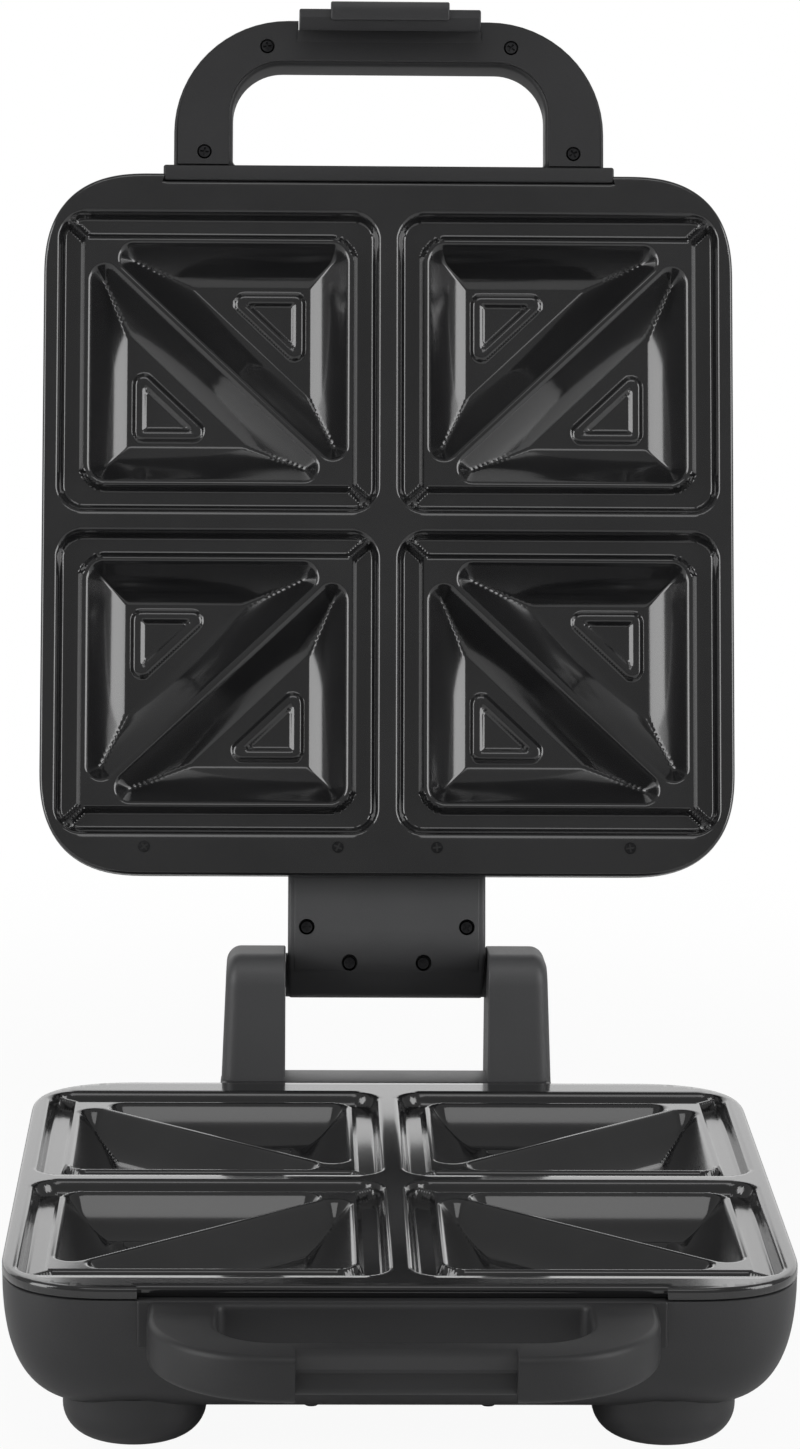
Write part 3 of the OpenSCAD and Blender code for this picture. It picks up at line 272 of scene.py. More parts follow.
def wovenSleeve():
    graph, shader, place = startMaterial("wovenSleeve", {"IOR": 1.45, "Metallic": 0.0})
    x, y, z = graph.parts(place)
    warp = graph.math("SINE", (x + y + z) * 4200.0)
    weft = graph.math("SINE", (x - y + z * 0.4) * 4200.0)
    weave = (warp * weft + 1) * 0.5
    wear = noise(graph, place, 300.0, 3.0, 0.6)
    feed(graph, shader, "Base Color", tint(graph, weave * 0.6 + wear * 0.4, rgb(0.30, 0.10, 0.065),
                                           rgb(0.58, 0.25, 0.17)))
    feed(graph, shader, "Roughness", 0.75 - weave * 0.12)
    feed(graph, shader, "Normal", bump(graph, weave, 0.00012))


wovenSleeve()


def clearLens(name, dark, light):
    graph, shader, place = startMaterial(name, {"IOR": 1.49, "Metallic": 0.0, "Transmission Weight": 0.35})
    haze = noise(graph, place, 500.0, 3.0, 0.5)
    x, _, _ = graph.parts(place)
    prism = abs(graph.math("SINE", x * 3500.0))
    feed(graph, shader, "Base Color", tint(graph, prism * 0.5 + haze * 0.5, dark, light))
    feed(graph, shader, "Roughness", 0.10 + haze * 0.12)
    feed(graph, shader, "Normal", bump(graph, prism, 0.00004))


clearLens("redLens", rgb(0.42, 0.008, 0.006), rgb(0.62, 0.02, 0.012))
clearLens("greenLens", rgb(0.012, 0.24, 0.05), rgb(0.03, 0.38, 0.09))
clearLens("lampGlass", rgb(0.85, 0.55, 0.35), rgb(0.95, 0.75, 0.55))
print("materials made:", len(materials))


# mesh helpers: shapes are drawn in millimetres and placed by one of the two matrices
def finishMesh(name, mesh, material, body, stands=(), angle=40.0):
    for polygon in mesh.polygons:
        polygon.use_smooth = True
    mesh.set_sharp_from_angle(angle=math.radians(angle))
    mesh.materials.clear()
    mesh.materials.append(materials[material])
    piece = addObject(name, mesh)
    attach(piece, body)
    if stands:
        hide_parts(*stands)
    return piece


def buildMesh(name, points, faces, matrix):
    build = bmesh.new()
    corners = [build.verts.new(matrix @ Vector(p)) for p in points]
    for face in faces:
        ring = [corners[i] for i in face]
        if len(set(ring)) > 2:
            build.faces.new(ring)
    bmesh.ops.remove_doubles(build, verts=build.verts, dist=1e-7)
    bmesh.ops.recalc_face_normals(build, faces=build.faces)
    mesh = bpy.data.meshes.new(name)
    build.to_mesh(mesh)
    build.free()
    return mesh


def addPiece(name, shape, matrix, material, body, stands=()):
    return finishMesh(name, buildMesh(name, *shape, matrix), material, body, stands)


# welds near corners, turns the faces outward and counts the edges that stay open
def weldMesh(mesh, distance):
    build = bmesh.new()
    build.from_mesh(mesh)
    bmesh.ops.remove_doubles(build, verts=build.verts, dist=distance)
    bmesh.ops.recalc_face_normals(build, faces=build.faces)
    openEdges = sum(1 for e in build.edges if len(e.link_faces) != 2)
    build.to_mesh(mesh)
    build.free()
    return openEdges


# skin through rings of equal length; closed joins the last ring to the first
def ringSkin(rings, closed):
    n, count = len(rings[0]), len(rings)
    points = [p for ring in rings for p in ring]
    faces = []
    for k in range(count if closed else count - 1):
        a, b = k * n, ((k + 1) % count) * n
        faces += [(a + i, a + (i + 1) % n, b + (i + 1) % n, b + i) for i in range(n)]
    if not closed:
        faces += [tuple(reversed(range(n))), tuple(range((count - 1) * n, count * n))]
    return points, faces


def mergeShapes(*shapes):
    points, faces = [], []
    for p, f in shapes:
        faces += [tuple(i + len(points) for i in face) for face in f]
        points += p
    return points, faces


def softCorner(angle, power):
    c, s = math.cos(math.radians(angle)), math.sin(math.radians(angle))
    return (math.copysign(abs(c) ** (2 / power), c), math.copysign(abs(s) ** (2 / power), s))


# the plates' outline, drawn in by inset, anticlockwise
def plateOutline(inset, steps=20):
    half, length = toaster["plateWidth"] / 2, toaster["plateLength"]
    r = max(toaster["plateCorner"] - inset, 2)
    ring = []
    for q in range(4):
        sx, cy = (1 if q in (0, 3) else -1), (-inset - r if q < 2 else -length + inset + r)
        for k in range(steps + 1):
            s = softCorner(90 * (q + k / steps), toaster["cornerPower"])
            ring.append((sx * (half - inset - r) + r * s[0], cy + r * s[1]))
    return ring


def outlineRings(profile, steps=20):
    return [[(x, y, z) for x, y in plateOutline(inset, steps)] for inset, z in profile]


# inward normals of a closed plane outline that runs anticlockwise
def inwardNormals(outline):
    normals = []
    for i, p in enumerate(outline):
        a, b = outline[i - 1], outline[(i + 1) % len(outline)]
        first = Vector((-(p[1] - a[1]), p[0] - a[0])).normalized()
        second = Vector((-(b[1] - p[1]), b[0] - p[0])).normalized()
        mid = (first + second).normalized()
        normals.append(mid / max(mid.dot(first), 0.5))
    return normals


# prism across X over a side view (y, z), with rounded edges at both ends
def pillow(outline, x0, x1, round0, round1, steps=6):
    normals = inwardNormals(outline)
    rings = []
    for end, inward, radius, order in ((x0, 1, round0, range(steps + 1)), (x1, -1, round1, range(steps, -1, -1))):
        for k in order:
            a = math.radians(90 * k / steps)
            inset, x = radius * (1 - math.sin(a)), end + inward * radius * (1 - math.cos(a))
            rings.append([(x, p[0] + n[0] * inset, p[1] + n[1] * inset) for p, n in zip(outline, normals)])
    return ringSkin(rings, False)


def arc(cx, cy, r, a0, a1, steps):
    return [(cx + r * math.cos(math.radians(a0 + (a1 - a0) * k / steps)),
             cy + r * math.sin(math.radians(a0 + (a1 - a0) * k / steps))) for k in range(steps + 1)]


# rounded rectangle in plan, anticlockwise from the rear right; radii: rear, front
def roundedPlan(halfWidth, rear, front, rRear, rFront, frontPoints, steps=16):
    ring = arc(halfWidth - rRear, rear - rRear, rRear, 0, 90, steps)
    ring += arc(-halfWidth + rRear, rear - rRear, rRear, 90, 180, steps)
    ring += arc(-halfWidth + rFront, front + rFront, rFront, 180, 270, steps)
    ring += [(x, front) for x in frontPoints]
    ring += arc(halfWidth - rFront, front + rFront, rFront, 270, 360, steps)
    return ring


def roundBox(x0, x1, y0, y1, z0, z1, r):
    ring = []
    for i in range(4):
        cy, cz = (y0 + r if i in (0, 3) else y1 - r), (z0 + r if i < 2 else z1 - r)
        ring += arc(cy, cz, r, 180 + 90 * i, 270 + 90 * i, 5)
    return pillow(ring, x0, x1, r * 0.98, r * 0.98, 5)


def solvedMesh(host):
    bpy.context.view_layer.update()
    return bpy.data.meshes.new_from_object(host.evaluated_get(bpy.context.evaluated_depsgraph_get()))


def carve(piece, cutters):
    for shape, matrix in cutters:
        tool = addObject("cutter", buildMesh("cutter", *shape, matrix))
        mod = piece.modifiers.new("cut", "BOOLEAN")
        mod.operation, mod.solver, mod.object = "DIFFERENCE", "EXACT", tool
        made = solvedMesh(piece)
        piece.modifiers.clear()
        old = piece.data
        piece.data = made
        bpy.data.meshes.remove(old)
        bpy.data.objects.remove(tool)
    for polygon in piece.data.polygons:
        polygon.use_smooth = True
    piece.data.set_sharp_from_angle(angle=math.radians(32))


def rod(x, y, z0, z1, r, steps=32):
    rings = [[(x + r * math.cos(2 * math.pi * k / steps), y + r * math.sin(2 * math.pi * k / steps), z)
              for k in range(steps)] for z in (z0, z1)]
    return ringSkin(rings, False)


# node trees: inputs carry the names of a size table, and a material
def startTree(name, sizes, coating, whole=(), takesPoints=False):
    tree = bpy.data.node_groups.new(name, "GeometryNodeTree")
    face = tree.interface
    if takesPoints:
        face.new_socket(name="Geometry", in_out="INPUT", socket_type="NodeSocketGeometry")
    for key, value in sizes.items():
        kind = "NodeSocketInt" if key in whole else "NodeSocketFloat"
        face.new_socket(name=key, in_out="INPUT", socket_type=kind).default_value = value
    face.new_socket(name=coating, in_out="INPUT", socket_type="NodeSocketMaterial")
    face.new_socket(name="Geometry", in_out="OUTPUT", socket_type="NodeSocketGeometry")
    g = Graph(tree)
    given = g.node("NodeGroupInput")
    return tree, g, {s.name: Wire(g, s) for s in given.outputs if s.name}


def endTree(tree, g, mesh, material):
    mesh = g.wire("GeometryNodeRealizeInstances", None, {"Geometry": mesh})
    mesh = g.wire("GeometryNodeSetMaterial", None, {"Geometry": mesh, "Material": material})
    tree.links.new(mesh.socket, g.node("NodeGroupOutput").inputs[0])
    return tree


def runTree(tree, seed, settings):
    host = addObject("treeHost", seed)
    mod = host.modifiers.new("nodes", "NODES")
    mod.node_group = tree
    for item in tree.interface.items_tree:
        if item.item_type == "SOCKET" and item.in_out == "INPUT" and item.name in settings:
            mod[item.identifier] = settings[item.name]
    mesh = solvedMesh(host)
    bpy.data.objects.remove(host)
    return mesh


# cooking plates: one rule gives the height at every point
plateShape = {
    "plateWidth": toaster["plateWidth"], "plateLength": toaster["plateLength"],
    "cornerRadius": toaster["plateCorner"], "cornerPower": toaster["cornerPower"],
    "sideRim": 5.2, "frontRim": 15.0, "rearRim": 15.5, "columnGap": 6.3, "rowGap": 6.5, "edgeRound": 1.3,
    "rimThickness": 4.0, "cavityCorner": 11.0, "channelDepth": 5.0, "channelWall": 3.4,
    "ridgeInset": 11.4, "ridgeDrop": 1.2, "ridgeTop": 0.5, "ridgeFoot": 2.5, "pocketCorner": 8.0,
    "pocketDepth": 15.0, "pocketRun": 15.5, "footSlope": 0.42, "seamShare": 0.12, "tipRound": 6.6,
    "ribSide": 29.3, "ribBar": 29.8, "ribLegX": 35.2, "ribLegY": 33.3, "ribRound": 4.4, "ribWidth": 5.5,
    "ribHeight": 1.7, "notchHalf": 88.5, "notchDepth": 3.0, "flangeInset": 6.0,
    "underside": 18.0, "cells": 140, "barCells": 2, "sideCells": 3, "endCells": 5,
}


def plateTree():
    tree, g, v = startTree("cookingPlate", plateShape, "coating", ("cells", "barCells", "sideCells", "endCells"))
    cavityX = v["plateWidth"] / 2 - v["sideRim"] - v["columnGap"] / 2
    cavityY = (v["plateLength"] - v["frontRim"] - v["rearRim"] - v["rowGap"]) / 2
    rowMid = v["rearRim"] + cavityY + v["rowGap"] / 2
    halfX, halfY = v["plateWidth"] / 2, v["plateLength"] / 2

    # grid of index numbers, one unit to a cell
    countX = v["cells"] + v["barCells"] + v["sideCells"]
    countY = v["cells"] + v["barCells"] + v["endCells"]
    grid = g.wire("GeometryNodeMeshGrid", None, {
        "Size X": countX * 2, "Size Y": countY * 2, "Vertices X": countX * 2 + 1, "Vertices Y": countY * 2 + 1})
    i, j, _ = g.parts(g.wire("GeometryNodeInputPosition"))
    ai, aj, front = abs(i), abs(j), j < 0
    sideStep = (v["sideRim"] - v["edgeRound"] + 0.01) / v["sideCells"]
    endRim = v["rearRim"] + front * (v["frontRim"] - v["rearRim"])
    endStep = (endRim - v["edgeRound"] + 0.01) / v["endCells"]
    x = (ai.atMost(v["barCells"]) * (v["columnGap"] / 2 / v["barCells"])
         + (ai - v["barCells"]).atLeast(0).atMost(v["cells"]) * (cavityX / v["cells"])
         + (ai - v["barCells"] - v["cells"]).atLeast(0) * sideStep)
    y = (aj.atMost(v["barCells"]) * (v["rowGap"] / 2 / v["barCells"])
         + (aj - v["barCells"]).atLeast(0).atMost(v["cells"]) * (cavityY / v["cells"])
         + (aj - v["barCells"] - v["cells"]).atLeast(0) * endStep)
    flat = g.wire("GeometryNodeSetPosition", None, {
        "Geometry": grid, "Position": g.join(i.sign() * x, j.sign() * y - rowMid, 0.0)})

    # quads are split along the ridges, which run the other way in every second quarter
    px, py, _ = g.parts(g.wire("GeometryNodeInputPosition"))
    risingQuarter = (px * (py + rowMid)) < 0
    flat = g.wire("GeometryNodeTriangulate", {"quad_method": "FIXED"},
                  {"Mesh": flat, "Selection": risingQuarter})
    flat = g.wire("GeometryNodeTriangulate", {"quad_method": "FIXED_ALTERNATE"}, {"Mesh": flat})

    # outline with soft corners, one edge radius inside the real one
    inner = v["cornerRadius"] - v["edgeRound"]
    cx, cy = abs(px), abs(py + halfY)
    limitX, limitY = halfX - v["cornerRadius"], halfY - v["cornerRadius"]
    qx, qy = (cx - limitX).atLeast(0) / inner, (cy - limitY).atLeast(0) / inner
    reach = (qx ** v["cornerPower"] + qy ** v["cornerPower"]) ** (1 / v["cornerPower"])
    notchLine = v["notchDepth"] + v["edgeRound"] - v["plateLength"]
    inNotch = (cx < v["notchHalf"]) * (py < notchLine + 0.02)
    outside = (reach > 0.9999).atLeast(inNotch)
    trimmed = g.wire("GeometryNodeDeleteGeometry", {"domain": "FACE"}, {"Geometry": flat, "Selection": outside})
    borderEdge = g.math("COMPARE", g.wire("GeometryNodeInputMeshEdgeNeighbors"), 1.0, 0.1)
    onBorder = g.wire("GeometryNodeFieldOnDomain", {"domain": "EDGE", "data_type": "FLOAT"}, {0: borderEdge}) > 0.01
    onCurve = onBorder * (qx > 0) * (qy > 0)
    safe = reach.atLeast(1.0) + onCurve * (reach - reach.atLeast(1.0))
    pulledX = px.sign() * (cx.atMost(limitX) + inner * qx / safe)
    pulledY = (py + halfY).sign() * (cy.atMost(limitY) + inner * qy / safe) - halfY
    pullNotch = (cx < v["notchHalf"] - 0.5) * (py < notchLine + 0.02)
    pulledY = pulledY + pullNotch * (notchLine - pulledY)

    # the rule, for one half of one cavity; the rest is folded onto it
    lx = halfX - v["sideRim"] - cx
    ly = abs(py + rowMid) - v["rowGap"] / 2
    over = (lx / cavityX + ly / cavityY) > 1
    lx = lx + over * (cavityX - lx * 2)
    ly = ly + over * (cavityY - ly * 2)
    cross = 1 / (1 / (cavityX * cavityX) + 1 / (cavityY * cavityY)).root()
    diagonal = cross * (1 - lx / cavityX - ly / cavityY)
    legX, legY = lx - v["ridgeInset"], ly - v["ridgeInset"]
    r = v["pocketCorner"]
    dx, dy = (r - legX).atLeast(0), (r - legY).atLeast(0)
    legs = r - (dx * dx + dy * dy).root() + (legX.atMost(legY) - r).atLeast(0)
    steep = diagonal + (diagonal - v["tipRound"]).atLeast(0) * v["seamShare"]
    edge = legs.atMost(steep) - v["ridgeTop"]
    # the two acute corners are rounded about points inside them
    back, reachIn = v["ridgeTop"] + v["tipRound"], v["ridgeInset"] + v["ridgeTop"] + v["tipRound"]
    farY = cavityY * (1 - reachIn / cavityX - back / cross)
    farX = cavityX * (1 - reachIn / cavityY - back / cross)
    alongX, alongY = cross / cavityY, cross / cavityX  # the seam's direction
    for tx, ty, atX, atY in ((reachIn, farY, 0.0, 1.0), (farX, reachIn, 1.0, 0.0)):
        ox, oy = lx - tx, ly - ty
        turned = 1.0 - 2.0 * atX
        beyond = (ox * atX + oy * atY > 0) * ((oy * alongY - ox * alongX) * turned > 0)
        radial = v["tipRound"] - (ox * ox + oy * oy).root()
        edge = edge + beyond * (radial - edge)
    inside = edge > 0 - v["ridgeTop"]
    fall = v["pocketDepth"] - v["ridgeDrop"]
    bend = 0.8
    rim = edge.atLeast(0)
    run = ((rim * rim + bend * bend).root() - bend).atMost(v["pocketRun"])
    startSlope = 2 * fall / v["pocketRun"] - v["footSlope"]
    depth = v["ridgeDrop"] + run * (startSlope - run * (startSlope - v["footSlope"]) / (2 * v["pocketRun"]))
    sx, sy = lx.atMost(cavityX - lx), ly.atMost(cavityY - ly)
    c = v["cavityCorner"]
    ex, ey = (c - sx).atLeast(0), (c - sy).atLeast(0)
    border = c - (ex * ex + ey * ey).root() + (sx.atMost(sy) - c).atLeast(0)
    channel = 0 - v["channelDepth"] * border.rise(0.0, v["channelWall"])
    bead = v["channelDepth"] - v["ridgeDrop"]
    flank = 0 - v["ridgeDrop"] - bead * (0 - legs).rise(v["ridgeTop"], v["ridgeFoot"])
    spine = 0 - v["ridgeDrop"] - bead * diagonal.rise(v["ridgeTop"], v["ridgeFoot"])
    open = channel.atLeast(flank).atLeast(spine)
    # triangular rib: a band inside a triangle whose corners are rounded
    ribX, ribY = lx - v["ribSide"], ly - v["ribBar"]
    slope = 1 / (1 / (v["ribLegX"] * v["ribLegX"]) + 1 / (v["ribLegY"] * v["ribLegY"])).root()
    slant = (1 - ribX / v["ribLegX"] - ribY / v["ribLegY"]) * slope
    core = ribX.atMost(ribY).atMost(slant) - v["ribRound"]
    tipX = v["ribLegX"] * (1 - v["ribRound"] / v["ribLegY"] - v["ribRound"] / slope)
    tipY = v["ribLegY"] * (1 - v["ribRound"] / v["ribLegX"] - v["ribRound"] / slope)

    def reachOf(x0, y0, x1, y1):  # distance from a straight stretch
        dx, dy = x1 - x0, y1 - y0
        share = ((ribX - x0) * dx + (ribY - y0) * dy) / (dx * dx + dy * dy)
        share = share.atLeast(0).atMost(1)
        ex, ey = ribX - x0 - share * dx, ribY - y0 - share * dy
        return (ex * ex + ey * ey).root()

    r = v["ribRound"]
    away = reachOf(r, r, tipX, r).atMost(reachOf(r, r, r, tipY)).atMost(reachOf(tipX, r, r, tipY))
    ribIn = r + core.atLeast(0) - (1 - (core > 0)) * away
    halfRib = v["ribWidth"] / 2
    side = (abs(ribIn - halfRib) / halfRib).atMost(1)
    rib = 1 - side ** 2.6
    sunk = (0 - depth).atLeast(rib * v["ribHeight"] - v["pocketDepth"] - 0.02)
    height = open + inside * (sunk - open)
    shaped = g.wire("GeometryNodeSetPosition", None, {
        "Geometry": trimmed, "Position": g.join(pulledX, pulledY, height)})

    # rounded edge, side, underside
    power = v["cornerPower"] - 1
    outX = px.sign() * qx ** power
    outY = (py + halfY).sign() * qy ** power
    outward = g.vector("NORMALIZE", g.join(outX, outY, 0.0))
    mesh, free = shaped, borderEdge
    turns = [math.radians(30 * k) for k in range(4)]
    moves = [(v["edgeRound"] * (math.sin(b) - math.sin(a)), v["edgeRound"] * (math.cos(b) - math.cos(a)))
             for a, b in zip(turns, turns[1:])]
    bevel = 0.4
    moves += [(0.0, v["edgeRound"] + bevel - v["rimThickness"]), (-bevel, -bevel), (0 - v["flangeInset"], 0.0),
              (0.0, v["rimThickness"] - v["underside"])]
    for out, down in moves:
        shift = g.vector("MULTIPLY", outward, g.join(out, out, 0.0))
        shift = g.vector("ADD", shift, g.join(0.0, 0.0, down))
        step = g.node("GeometryNodeExtrudeMesh", {"mode": "EDGES"},
                      {"Mesh": mesh, "Selection": free, "Offset": shift, "Offset Scale": 1.0})
        mesh, free = Wire(g, step.outputs["Mesh"]), Wire(g, step.outputs["Top"])
    step = g.node("GeometryNodeExtrudeMesh", {"mode": "EDGES"},
                  {"Mesh": mesh, "Selection": free, "Offset": (0.0, 0.0, 0.0), "Offset Scale": 1.0})
    mesh, free = Wire(g, step.outputs["Mesh"]), Wire(g, step.outputs["Top"])
    mesh = g.wire("GeometryNodeSetPosition", None, {
        "Geometry": mesh, "Selection": free, "Position": g.join(0.0, 0 - halfY, 0 - v["underside"])})
    mesh = g.wire("GeometryNodeMergeByDistance", None, {"Geometry": mesh, "Distance": 0.001})
    return endTree(tree, g, mesh, v["coating"])


def makePlates():
    tree = plateTree()
    flip = Matrix.Translation((0, 0, toaster["lidGap"])) @ Matrix.Scale(-1, 4, (0, 0, 1))
    for name, matrix, body, node in (("lowerPlate", standMatrix, "base", "base_plate"),
                                     ("upperPlate", lidMatrix @ flip, "lid", "lid_plate")):
        settings = dict(plateShape, coating=materials["nonStickCoat"])
        mesh = runTree(tree, bpy.data.meshes.new("seed"), settings)
        mesh.transform(matrix)
        openEdges = weldMesh(mesh, 2e-6)
        finishMesh(name, mesh, "nonStickCoat", body, [node], 50)
        print(name, len(mesh.polygons), "faces, open edges", openEdges)


makePlates()


# base housing: skirt, rear block and towers
housing = {"top": -4.3, "bottom": -47.5, "run": 29.0, "power": 2.7, "draft": 1.0, "wall": 2.5,
           "panInset": 24.4, "ledgeInset": 32.0, "floor": -42.9, "steps": 30,
           "blockHalf": 64.4, "rear": 49.0, "towerIn": 39.25, "towerOut": 64.5, "towerTopOut": 62.0,
           "towerTop": 47.5, "towerFront": 2.0, "towerArc": 11.5, "towerSunk": 14.0}


def makeHousing():
    h = housing
    rise = h["top"] - h["bottom"]
    outer = []
    for k in range(1, h["steps"] + 1):
        s = softCorner(90 * k / h["steps"], h["power"])
        outer.append((h["run"] * (1 - s[0]) + h["draft"] * s[1], h["top"] - rise * s[1]))
    outer = [p for p in outer if p[0] < h["panInset"] - 0.4]
    lip = [(0.8, h["top"]), (0.35, h["top"] - 0.1), (0.08, h["top"] - 0.4)]
    foot = [(h["panInset"], outer[-1][1] - 0.02), (h["panInset"], -45.3), (h["ledgeInset"], -45.3),
            (h["ledgeInset"], h["floor"])]
    shrink = (h["top"] - h["floor"]) / rise
    inner = [(i + h["wall"], h["floor"] + (z - h["bottom"]) * shrink) for i, z in reversed(outer) if z < h["top"] - 1]
    inner += [(h["wall"], h["top"] - 0.4), (h["wall"] - 0.4, h["top"])]
    profile = lip + outer + foot + inner
    addPiece("housingSkirt", ringSkin(outlineRings(profile, 24), True), standMatrix, "blackMoulding", "base",
             ["base_housing"])
    # rear block with the ledge between the towers
    side = [(-29.0, h["bottom"])] + list(reversed(arc(h["rear"] - 8, h["bottom"] + 8, 8, 0, -90, 8)))
    side += [(14 + (h["rear"] - 14) * math.cos(math.radians(a)), -25 + 24.7 * math.sin(math.radians(a)))
             for a in range(0, 81, 5)]
    side += [(14.0, -0.3), (1.8, -0.3), (0.9, -0.6), (0.6, -1.5), (0.6, -4.6), (-4.0, -6.0)]
    block = pillow(side, -h["blockHalf"], h["blockHalf"], 3.5, 3.5)
    addPiece("rearBlock", block, standMatrix, "blackMoulding", "base", ["base_housing"])
    # towers
    front, top = h["towerFront"], h["towerTop"]
    sunk = h["towerSunk"]
    side = [(front, -sunk), (h["rear"], -sunk)]
    side += arc(toaster["axisBack"], toaster["axisUp"], h["towerArc"], 0, 90, 12)
    side += arc(front + 13.5, top - 11, 11, 90, 178, 12)
    for sign, name in ((1, "towerRight"), (-1, "towerLeft")):
        points, faces = pillow(side, h["towerIn"], h["towerOut"], 0.8, 6.0, 8)
        slope = (h["towerOut"] - h["towerTopOut"]) / (top + sunk)
        points = [(sign * (x - (z + sunk) * slope * (x - h["towerIn"]) / (h["towerOut"] - h["towerIn"])), y, z)
                  for x, y, z in points]
        addPiece(name, (points, faces), standMatrix, "satinMoulding", "base", ["base_housing"])


makeHousing()
print("housing made")


# feet
footShape = {"x": 90.0, "radius": 24.5, "top": -42.6, "low": -61.0, "round": 11.0, "pad": 12.1, "sides": 72}


def makeFeet():
    f = footShape
    profile = [(f["pad"], f["low"] + 1.0), (f["pad"], f["low"] + 0.3), (f["pad"] + 0.3, f["low"])]
    profile += arc(f["radius"] - f["round"], f["low"] + f["round"], f["round"], -84, 0, 12)
    profile += [(f["radius"], f["top"])]
    turns = [2 * math.pi * k / f["sides"] for k in range(f["sides"])]
    for end, y in (("Front", -240.0), ("Rear", -36.0)):
        for side, sx in (("Left", -1), ("Right", 1)):
            rings = [[(sx * f["x"] + r * math.cos(t), y + r * math.sin(t), z) for t in turns] for r, z in profile]
            addPiece("foot" + end + side, ringSkin(rings, False), standMatrix, "blackMoulding", "base",
                     [f"foot_{end}_{side}".lower()])


makeFeet()
print("feet made")


# handles
handleShape = {"half": 84.5, "tip": -338.0, "corner": 45.0, "gripHalf": 61.5, "gripFront": -320.0,
               "gripCorner": 19.5, "rootCorner": 3.0, "notchHalf": 35.75}
lowerBar = {"low": -20.3, "top": -4.5, "rear": -275.0, "openRear": -279.0,
            "roundTop": 2.4, "roundLow": 3.4, "roundIn": 2.2, "recessDepth": 2.1, "recessMargin": 3.6,
            "levels": [-10.74, -10.66, -9.5]}
upperBar = {"low": 3.2, "top": 22.8, "rear": -279.0, "openRear": -279.6,
            "roundTop": 4.0, "roundLow": 1.2, "roundIn": 3.0, "recessDepth": 1.2, "recessMargin": 1.3,
            "levels": [10.0, 11.16, 11.24, 18.0, 19.46, 19.54]}


# a D shaped bar round the finger opening; notch(z) gives the tip's Y inside the notch
def handleBar(bar, notch):
    size = handleShape
    edge, low, top, margin = size["notchHalf"], bar["low"], bar["top"], bar["recessMargin"]
    tipPoints = [-edge, -edge + 0.03, -12.0, 12.0, edge - 0.03, edge]
    gripPoints = [x * (size["gripHalf"] - size["gripCorner"]) / edge * 0.9 for x in tipPoints]
    rings = []

    def outerRing(inset, z):
        plan = roundedPlan(size["half"] - inset, bar["rear"], size["tip"] + inset, 0.6, size["corner"] - inset,
                           tipPoints)
        for i, (x, y) in enumerate(plan):
            if abs(x) < edge - 0.01 and y < size["gripFront"] - 4:
                plan[i] = (x, max(y, notch(z) + inset))
        rings.append([(x, y, z) for x, y in plan])

    def innerRing(inset, z):
        plan = roundedPlan(size["gripHalf"] + inset, bar["openRear"] + inset, size["gripFront"] - inset,
                           size["rootCorner"] + inset, size["gripCorner"] + inset, gripPoints)
        rings.append([(x, y, z) for x, y in plan])

    # quarter round at one edge; leaving is the way off a flat, the other way ends on one
    def roundEdge(addRing, radius, level, up, steps, leaving):
        for k in range(steps + 1):
            a = math.radians(90 * k / steps)
            moves = [radius * (1 - math.sin(a)), radius * (1 - math.cos(a))]
            inset, away = moves if leaving else reversed(moves)
            addRing(inset, level + up * away)

    roundEdge(outerRing, bar["roundLow"], low, 1, 6, True)
    for z in bar["levels"]:
        outerRing(0, z)
    roundEdge(outerRing, bar["roundTop"], top, -1, 6, False)
    roundEdge(innerRing, bar["roundIn"], top, -1, 5, True)
    roundEdge(innerRing, bar["roundIn"], low, 1, 5, False)
    # recess of the underside
    innerRing(margin, low)
    innerRing(margin, low + bar["recessDepth"])
    outerRing(margin, low + bar["recessDepth"])
    outerRing(margin, low)
    return ringSkin(rings, True)


def lowerNotch(z):
    if z < -10.7:
        return -329.3
    return -334.0 if z < -9.5 else -334.0 + (z + 9.5) * 0.9


def upperNotch(z):
    if z < 11.2:
        return -333.9
    return -330.3 if z < 19.5 else -338.0


def makeHandles():
    root = roundBox(-88.3, 88.3, -277.0, -271.0, -20.3, -4.1, 1.0)
    addPiece("lowerHandle", mergeShapes(handleBar(lowerBar, lowerNotch), root), standMatrix, "gripMoulding", "base",
             ["base_handle"])
    root = roundBox(-88.5, 88.5, -279.5, -273.3, 1.1, 22.1, 1.0)
    ledge = roundBox(-37.0, 37.0, -333.6, -328.7, 1.02, 4.8, 0.3)  # closes the gap behind the latch
    lugs = [roundBox(*x, -337.2, -329.6, 1.02, 5.5, 0.3) for x in ((-37.5, -35.8), (35.8, 37.5))]
    addPiece("upperHandle", mergeShapes(handleBar(upperBar, upperNotch), root, ledge, *lugs), lidMatrix,
             "gripMoulding", "lid", ["lid_handle"])


makeHandles()
print("handles made")


# lid cover
coverShape = {"low": 5.1, "top": 38.8, "crown": 0.9, "run": 25.0, "power": 2.4, "wall": 2.5, "steps": 26,
              "reach": 133.0}


def makeLidCover():
    c = coverShape
    edgeTop = c["top"] - c["crown"]
    outer = []
    for k in range(1, c["steps"] + 1):
        s = softCorner(90 * k / c["steps"], c["power"])
        outer.append((c["run"] * (1 - s[0]), c["low"] + (edgeTop - c["low"]) * s[1]))
    crown = [(c["run"] + (c["reach"] - c["run"]) * t, edgeTop + c["crown"] * (1 - (1 - t) ** 2))
             for t in (0.04, 0.1, 0.2, 0.35, 0.5, 0.65, 0.8, 0.92, 1.0)]
    lip = [(0.6, c["low"]), (0.2, c["low"] + 0.1), (0.02, c["low"] + 0.5)]
    inside = [(i + c["wall"], z - c["wall"] * 0.9) for i, z in reversed(outer) if z - c["wall"] * 0.9 > c["low"] + 1]
    profile = [(c["reach"], edgeTop - c["wall"])] + inside
    profile += [(c["wall"], c["low"] + 0.4), (c["wall"] - 0.4, c["low"])] + lip + outer + crown
    addPiece("lidCover", ringSkin(outlineRings(profile, 22), False), lidMatrix, "blackMoulding", "lid",
             ["lid_cover"])


makeLidCover()
print("lid cover made")


